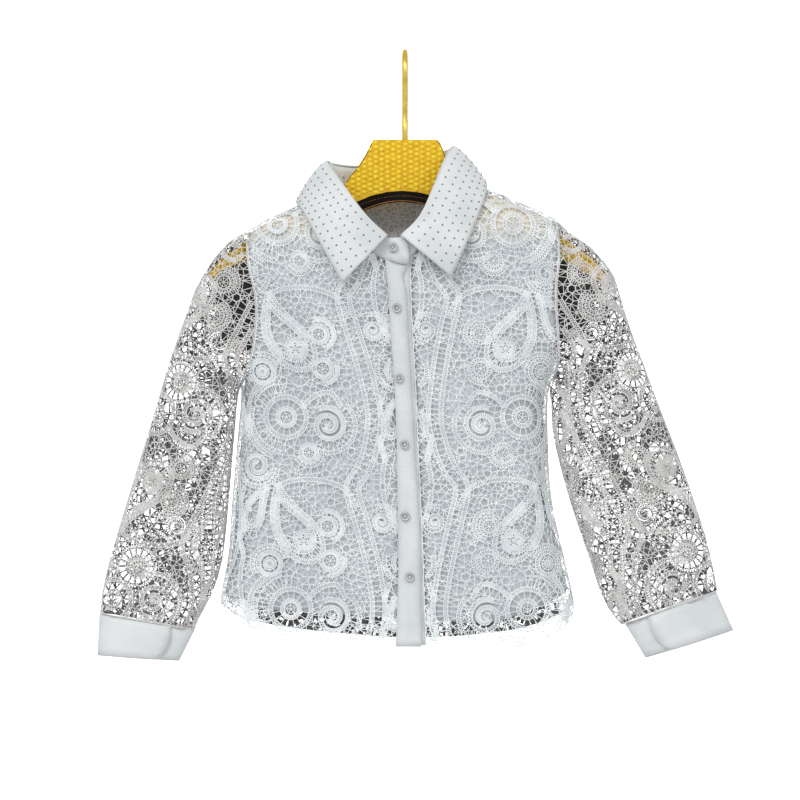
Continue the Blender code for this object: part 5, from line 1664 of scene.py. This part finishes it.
def add_hanger_trim(materials):
    """The dotted line and the edge line on the core, and the dark line on the board's edge."""
    def on_core(x, z):
        return Vector((x, -CORE_HALF, z))

    def on_board(x, z):
        return Vector((x, -BOARD_HALF, z))

    def forward(x, z):
        return Vector((0.0, -1.0, 0.0))

    dotted = [(x, z - 5.0) for x, z in curve_through(BOARD_LOWER, 6) if -150 < x < 145]
    edge = [(x, z + 0.7) for x, z in curve_through(CORE_LOWER, 6) if -110 < x < 105]
    groups = [dashes(on_core, path, 0.0, line, forward)
              for path, line in ((dotted, CORE_DOTS), (edge, CORE_LINE))]
    add_stitching("core_trim", groups, materials["trim"])
    rims = [shifted(curve_through(BOARD_TOP[side], 4), -0.7) for side in (RIGHT, LEFT)]
    groups = [dashes(on_board, rim, 0.0, BOARD_LINE, forward) for rim in rims]
    add_stitching("board_edge", groups, materials["core"])


def add_hook(materials):
    """The hook's wire: a bend over the rail and a stem down to the board."""
    bend = [(HOOK_BEND * math.cos(a), HOOK_RADIUS - HOOK_BEND + HOOK_BEND * math.sin(a))
            for a in (math.pi * k / 24 for k in range(25))]
    route = curve_through([(-HOOK_BEND, HOOK_TIP_Z)] + bend[::-1] + list(HOOK_STEM), 3)
    curve = bpy.data.curves.new("hook_wire", "CURVE")
    curve.dimensions = "3D"
    curve.bevel_depth = HOOK_RADIUS * MM
    curve.bevel_resolution = 4
    curve.use_fill_caps = True
    spline = curve.splines.new("POLY")
    spline.points.add(len(route) - 1)
    for point, (y, z) in zip(spline.points, route):
        point.co = (0.0, y * MM, z * MM, 1.0)
    curve.materials.append(materials["gold"])
    piece = bpy.data.objects.new("hook_wire", curve)
    bpy.context.scene.collection.objects.link(piece)
    hold(piece)
    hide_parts("hook")


def add_button_pieces(frame, materials):
    """Turned buttons with a rim and a dished middle, each on its CAD button's place."""
    angles = [2 * math.pi * k / BUTTON_SIDES for k in range(BUTTON_SIDES)]
    faces = [(ring * BUTTON_SIDES + k, ring * BUTTON_SIDES + (k + 1) % BUTTON_SIDES,
              (ring + 1) * BUTTON_SIDES + (k + 1) % BUTTON_SIDES, (ring + 1) * BUTTON_SIDES + k)
             for ring in range(len(BUTTON_PROFILE) - 1) for k in range(BUTTON_SIDES)]
    for number in range(1, 7):
        name = "button_" + str(number)
        low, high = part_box(name)
        x, z = (low.x + high.x) / 2 / MM, (low.z + high.z) / 2 / MM
        front = min(v.co.y for v in frame["nodes"][name].data.vertices) / MM
        corners = [(x + BUTTON_RADIUS * reach * math.cos(a), front + BUTTON_THICK - tall,
                    z + BUTTON_RADIUS * BUTTON_OVAL * reach * math.sin(a))
                   for reach, tall in BUTTON_PROFILE for a in angles]
        piece = mesh_from(name + "_turned", np.array(corners), np.array(faces), materials["button"])
        piece.data.materials.append(materials["button_rim"])
        for polygon in piece.data.polygons:
            polygon.material_index = int(polygon.index // BUTTON_SIDES in RIM_RINGS)
        finish_piece(piece, name)


def principled(name, colour, roughness, **more):
    """A material with its shader's main values set."""
    material = bpy.data.materials.new(name)
    material.use_nodes = True
    shader = material.node_tree.nodes["Principled BSDF"]
    shader.inputs["Base Color"].default_value = (*colour, 1.0)
    shader.inputs["Roughness"].default_value = roughness
    for key, value in more.items():
        shader.inputs[key.replace("_", " ")].default_value = value
    return material, shader


def speckle(material, shader, dark, light, scale, bump, bump_scale):
    """Colour that wavers softly between two tones, with a fine bump."""
    nodes, links = material.node_tree.nodes, material.node_tree.links
    place = nodes.new("ShaderNodeTexCoord")
    noise = nodes.new("ShaderNodeTexNoise")
    noise.inputs["Scale"].default_value = scale
    noise.inputs["Detail"].default_value = 3.0
    ramp = nodes.new("ShaderNodeValToRGB")
    ramp.color_ramp.elements[0].position, ramp.color_ramp.elements[1].position = 0.35, 0.65
    ramp.color_ramp.elements[0].color = (*dark, 1.0)
    ramp.color_ramp.elements[1].color = (*light, 1.0)
    links.new(place.outputs["Object"], noise.inputs["Vector"])
    links.new(noise.outputs["Fac"], ramp.inputs["Fac"])
    links.new(ramp.outputs["Color"], shader.inputs["Base Color"])
    fine = nodes.new("ShaderNodeTexNoise")
    fine.inputs["Scale"].default_value = bump_scale
    height = nodes.new("ShaderNodeBump")
    height.inputs["Strength"].default_value = bump
    height.inputs["Distance"].default_value = BUMP_DEPTH
    links.new(place.outputs["Object"], fine.inputs["Vector"])
    links.new(fine.outputs["Fac"], height.inputs["Height"])
    links.new(height.outputs["Normal"], shader.inputs["Normal"])


def mix_in(material, value, low, high, colour):
    """Mixes a colour into a material: none where a value is at the first limit, all at the second."""
    nodes, links = material.node_tree.nodes, material.node_tree.links
    shader = nodes["Principled BSDF"]
    plain = shader.inputs["Base Color"].links[0].from_socket
    span = nodes.new("ShaderNodeMapRange")
    span.inputs["From Min"].default_value, span.inputs["From Max"].default_value = low, high
    mix = nodes.new("ShaderNodeMix")
    mix.data_type = "RGBA"
    mix.inputs[7].default_value = (*linear(*colour), 1.0)
    links.new(value, span.inputs["Value"])
    links.new(span.outputs["Result"], mix.inputs[0])
    links.new(plain, mix.inputs[6])
    links.new(mix.outputs[2], shader.inputs["Base Color"])


def tint_by_height(material, colour, low, high):
    """Changes a material's colour with height: plain at the first height, tinted at the second."""
    nodes, links = material.node_tree.nodes, material.node_tree.links
    place = nodes.new("ShaderNodeTexCoord")
    split = nodes.new("ShaderNodeSeparateXYZ")
    links.new(place.outputs["Object"], split.inputs["Vector"])
    mix_in(material, split.outputs["Z"], low, high, colour)


def add_web(material, colour, scale, wide):
    """Pale threads of lace that show through a cloth, as the edges of a cell pattern."""
    nodes, links = material.node_tree.nodes, material.node_tree.links
    place = nodes.new("ShaderNodeTexCoord")
    cells = nodes.new("ShaderNodeTexVoronoi")
    cells.feature = "DISTANCE_TO_EDGE"
    cells.inputs["Scale"].default_value = scale
    links.new(place.outputs["Object"], cells.inputs["Vector"])
    mix_in(material, cells.outputs["Distance"], wide * 2.5, wide, colour)


def make_scene_materials():
    """Every material: dark and light tone, roughness, and the scales of tone and bump."""
    materials = {}
    made = (
        ("lace", (222, 228, 231), (243, 247, 249), 0.7, 60, 0.3, 2500),
        # Painted shade: the sleeves' front lace is a darker, warmer copy of the same lace, for the shade
        # inside the sleeves
        ("sleeve_lace_painted_shade", (204, 203, 202), (228, 227, 226), 0.7, 60, 0.3, 2500),
        # Painted shade: the grey undersides of the sleeves' back lace, which show through the front halves as
        # the sleeve's shaded inside
        ("sleeve_back_painted_shade", (146, 145, 144), (170, 169, 168), 0.9, 60, 0.3, 2500),
        # Painted shade: the dark undersides of the back's lace, which show through the front's hem
        ("back_lace_painted_shade", (98, 94, 91), (122, 118, 115), 0.9, 60, 0.3, 2500),
        ("lining", (194, 201, 204), (210, 217, 220), 0.8, 18, 0.15, 3000),
        # Painted light: a lighter copy of the lining for the back lining, which is seen in shade inside the
        # neck
        ("lining_back_painted_light", (206, 208, 211), (226, 228, 231), 0.8, 300, 0.15, 3000),
        ("satin", (211, 216, 218), (224, 228, 229), 0.5, 25, 0.12, 3500),
        ("thread", (226, 229, 230), (240, 242, 242), 0.6, 300, 0.2, 2500),
        ("stud", (104, 108, 112), (150, 154, 158), 0.25, 400, 0.0, 800),
        ("button_rim", (134, 137, 140), (176, 179, 182), 0.2, 260, 0.0, 800),
        ("trim", (214, 128, 20), (236, 156, 40), 0.6, 200, 0.0, 800),
        ("weave", (240, 196, 12), (255, 232, 60), 0.45, 180, 0.4, 1800),
        ("board", (222, 172, 6), (240, 192, 14), 0.6, 180, 0.4, 1800),
        ("core", (16, 16, 15), (22, 22, 21), 0.8, 60, 0.2, 1500),
    )
    for name, dark, light, rough, scale, bump, bump_scale in made:
        material, shader = principled(name, linear(*light), rough)
        speckle(material, shader, linear(*dark), linear(*light), scale, bump, bump_scale)
        materials[name] = material
    for name in ("lace", "sleeve_lace_painted_shade", "satin"):
        materials[name].node_tree.nodes["Principled BSDF"].inputs["Sheen Weight"].default_value = 0.2
    materials["stud"].node_tree.nodes["Principled BSDF"].inputs["Metallic"].default_value = 0.7
    materials["core"].node_tree.nodes["Principled BSDF"].inputs["Specular IOR Level"].default_value = 0.12
    # Painted light: the lining turns warm towards its top, a painted glow of the yellow hanger under it
    tint_by_height(materials["lining"], (232, 224, 208), HANGER_GLOW_FROM, HANGER_GLOW_TO)
    tint_by_height(materials["core"], (74, 73, 73), CORE_PLAIN, CORE_PALE)
    add_web(materials["lining_back_painted_light"], (255, 255, 255), 190.0, 0.05)
    material, shader = principled("button", linear(206, 208, 210), 0.18, Coat_Weight=0.5)
    speckle(material, shader, linear(180, 182, 185), linear(226, 228, 229), 240, 0.0, 500)
    materials["button"] = material
    material, shader = principled("gold", linear(250, 214, 96), 0.28, Metallic=1.0)
    speckle(material, shader, linear(240, 200, 78), linear(255, 226, 120), 90, 0.05, 400)
    materials["gold"] = material
    return materials


def make_stage():
    """A pale floor out of the main view, a white backdrop far behind, soft light and the camera."""
    scene = bpy.context.scene
    scene.view_settings.view_transform = "Standard"
    world = bpy.data.worlds.new("studio")
    world.use_nodes = True
    world.node_tree.nodes["Background"].inputs["Color"].default_value = (1.0, 1.0, 1.0, 1.0)
    world.node_tree.nodes["Background"].inputs["Strength"].default_value = 0.62
    scene.world = world
    for name, place, size, turn, glow in (("floor", (0, 0, -0.86), 1.6, 0.0, 0.0),
                                          ("backdrop", (0, 8.0, 0), 7.0, math.pi / 2, 1.0)):
        half = size / 2
        mesh = bpy.data.meshes.new(name)
        mesh.from_pydata([(-half, -half, 0), (half, -half, 0), (half, half, 0), (-half, half, 0)], [],
                         [(0, 1, 2, 3)])
        plane = bpy.data.objects.new(name, mesh)
        plane.location = place
        plane.rotation_euler = (turn, 0, 0)
        scene.collection.objects.link(plane)
        material, shader = principled(name, (0.86, 0.86, 0.86), 0.9)
        shader.inputs["Emission Color"].default_value = (1.0, 1.0, 1.0, 1.0)
        shader.inputs["Emission Strength"].default_value = glow
        mesh.materials.append(material)
    for name, angles, strength in (("key", (52, 0, -28), 1.15), ("fill", (60, 0, 40), 0.4)):
        light = bpy.data.lights.new(name, "SUN")
        light.energy = strength
        light.angle = math.radians(25)
        lamp = bpy.data.objects.new(name, light)
        lamp.rotation_euler = tuple(math.radians(a) for a in angles)
        scene.collection.objects.link(lamp)
    camera = bpy.data.cameras.new("camera")
    camera.lens = 180.0
    camera.sensor_width = 36.0
    camera.clip_end = 50.0
    viewer = bpy.data.objects.new("camera", camera)
    viewer.location = (-0.005, -4.0, -0.345)
    viewer.rotation_euler = (math.pi / 2, 0, 0)
    scene.collection.objects.link(viewer)
    scene.camera = viewer


def build():
    """Builds every piece over the frame."""
    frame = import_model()
    materials = make_scene_materials()
    make_stage()
    add_body_lace(materials)
    add_linings(materials)
    add_placket(materials)
    add_collar_pieces(materials)
    add_cuff_pieces(materials)
    add_button_pieces(frame, materials)
    add_hanger_weave(materials)
    add_hanger_trim(materials)
    add_hook(materials)
    for node, key in (("hanger_board", "board"), ("hanger_core", "core")):
        data = frame["nodes"][node].data
        data.materials.clear()
        data.materials.append(materials[key])


build()
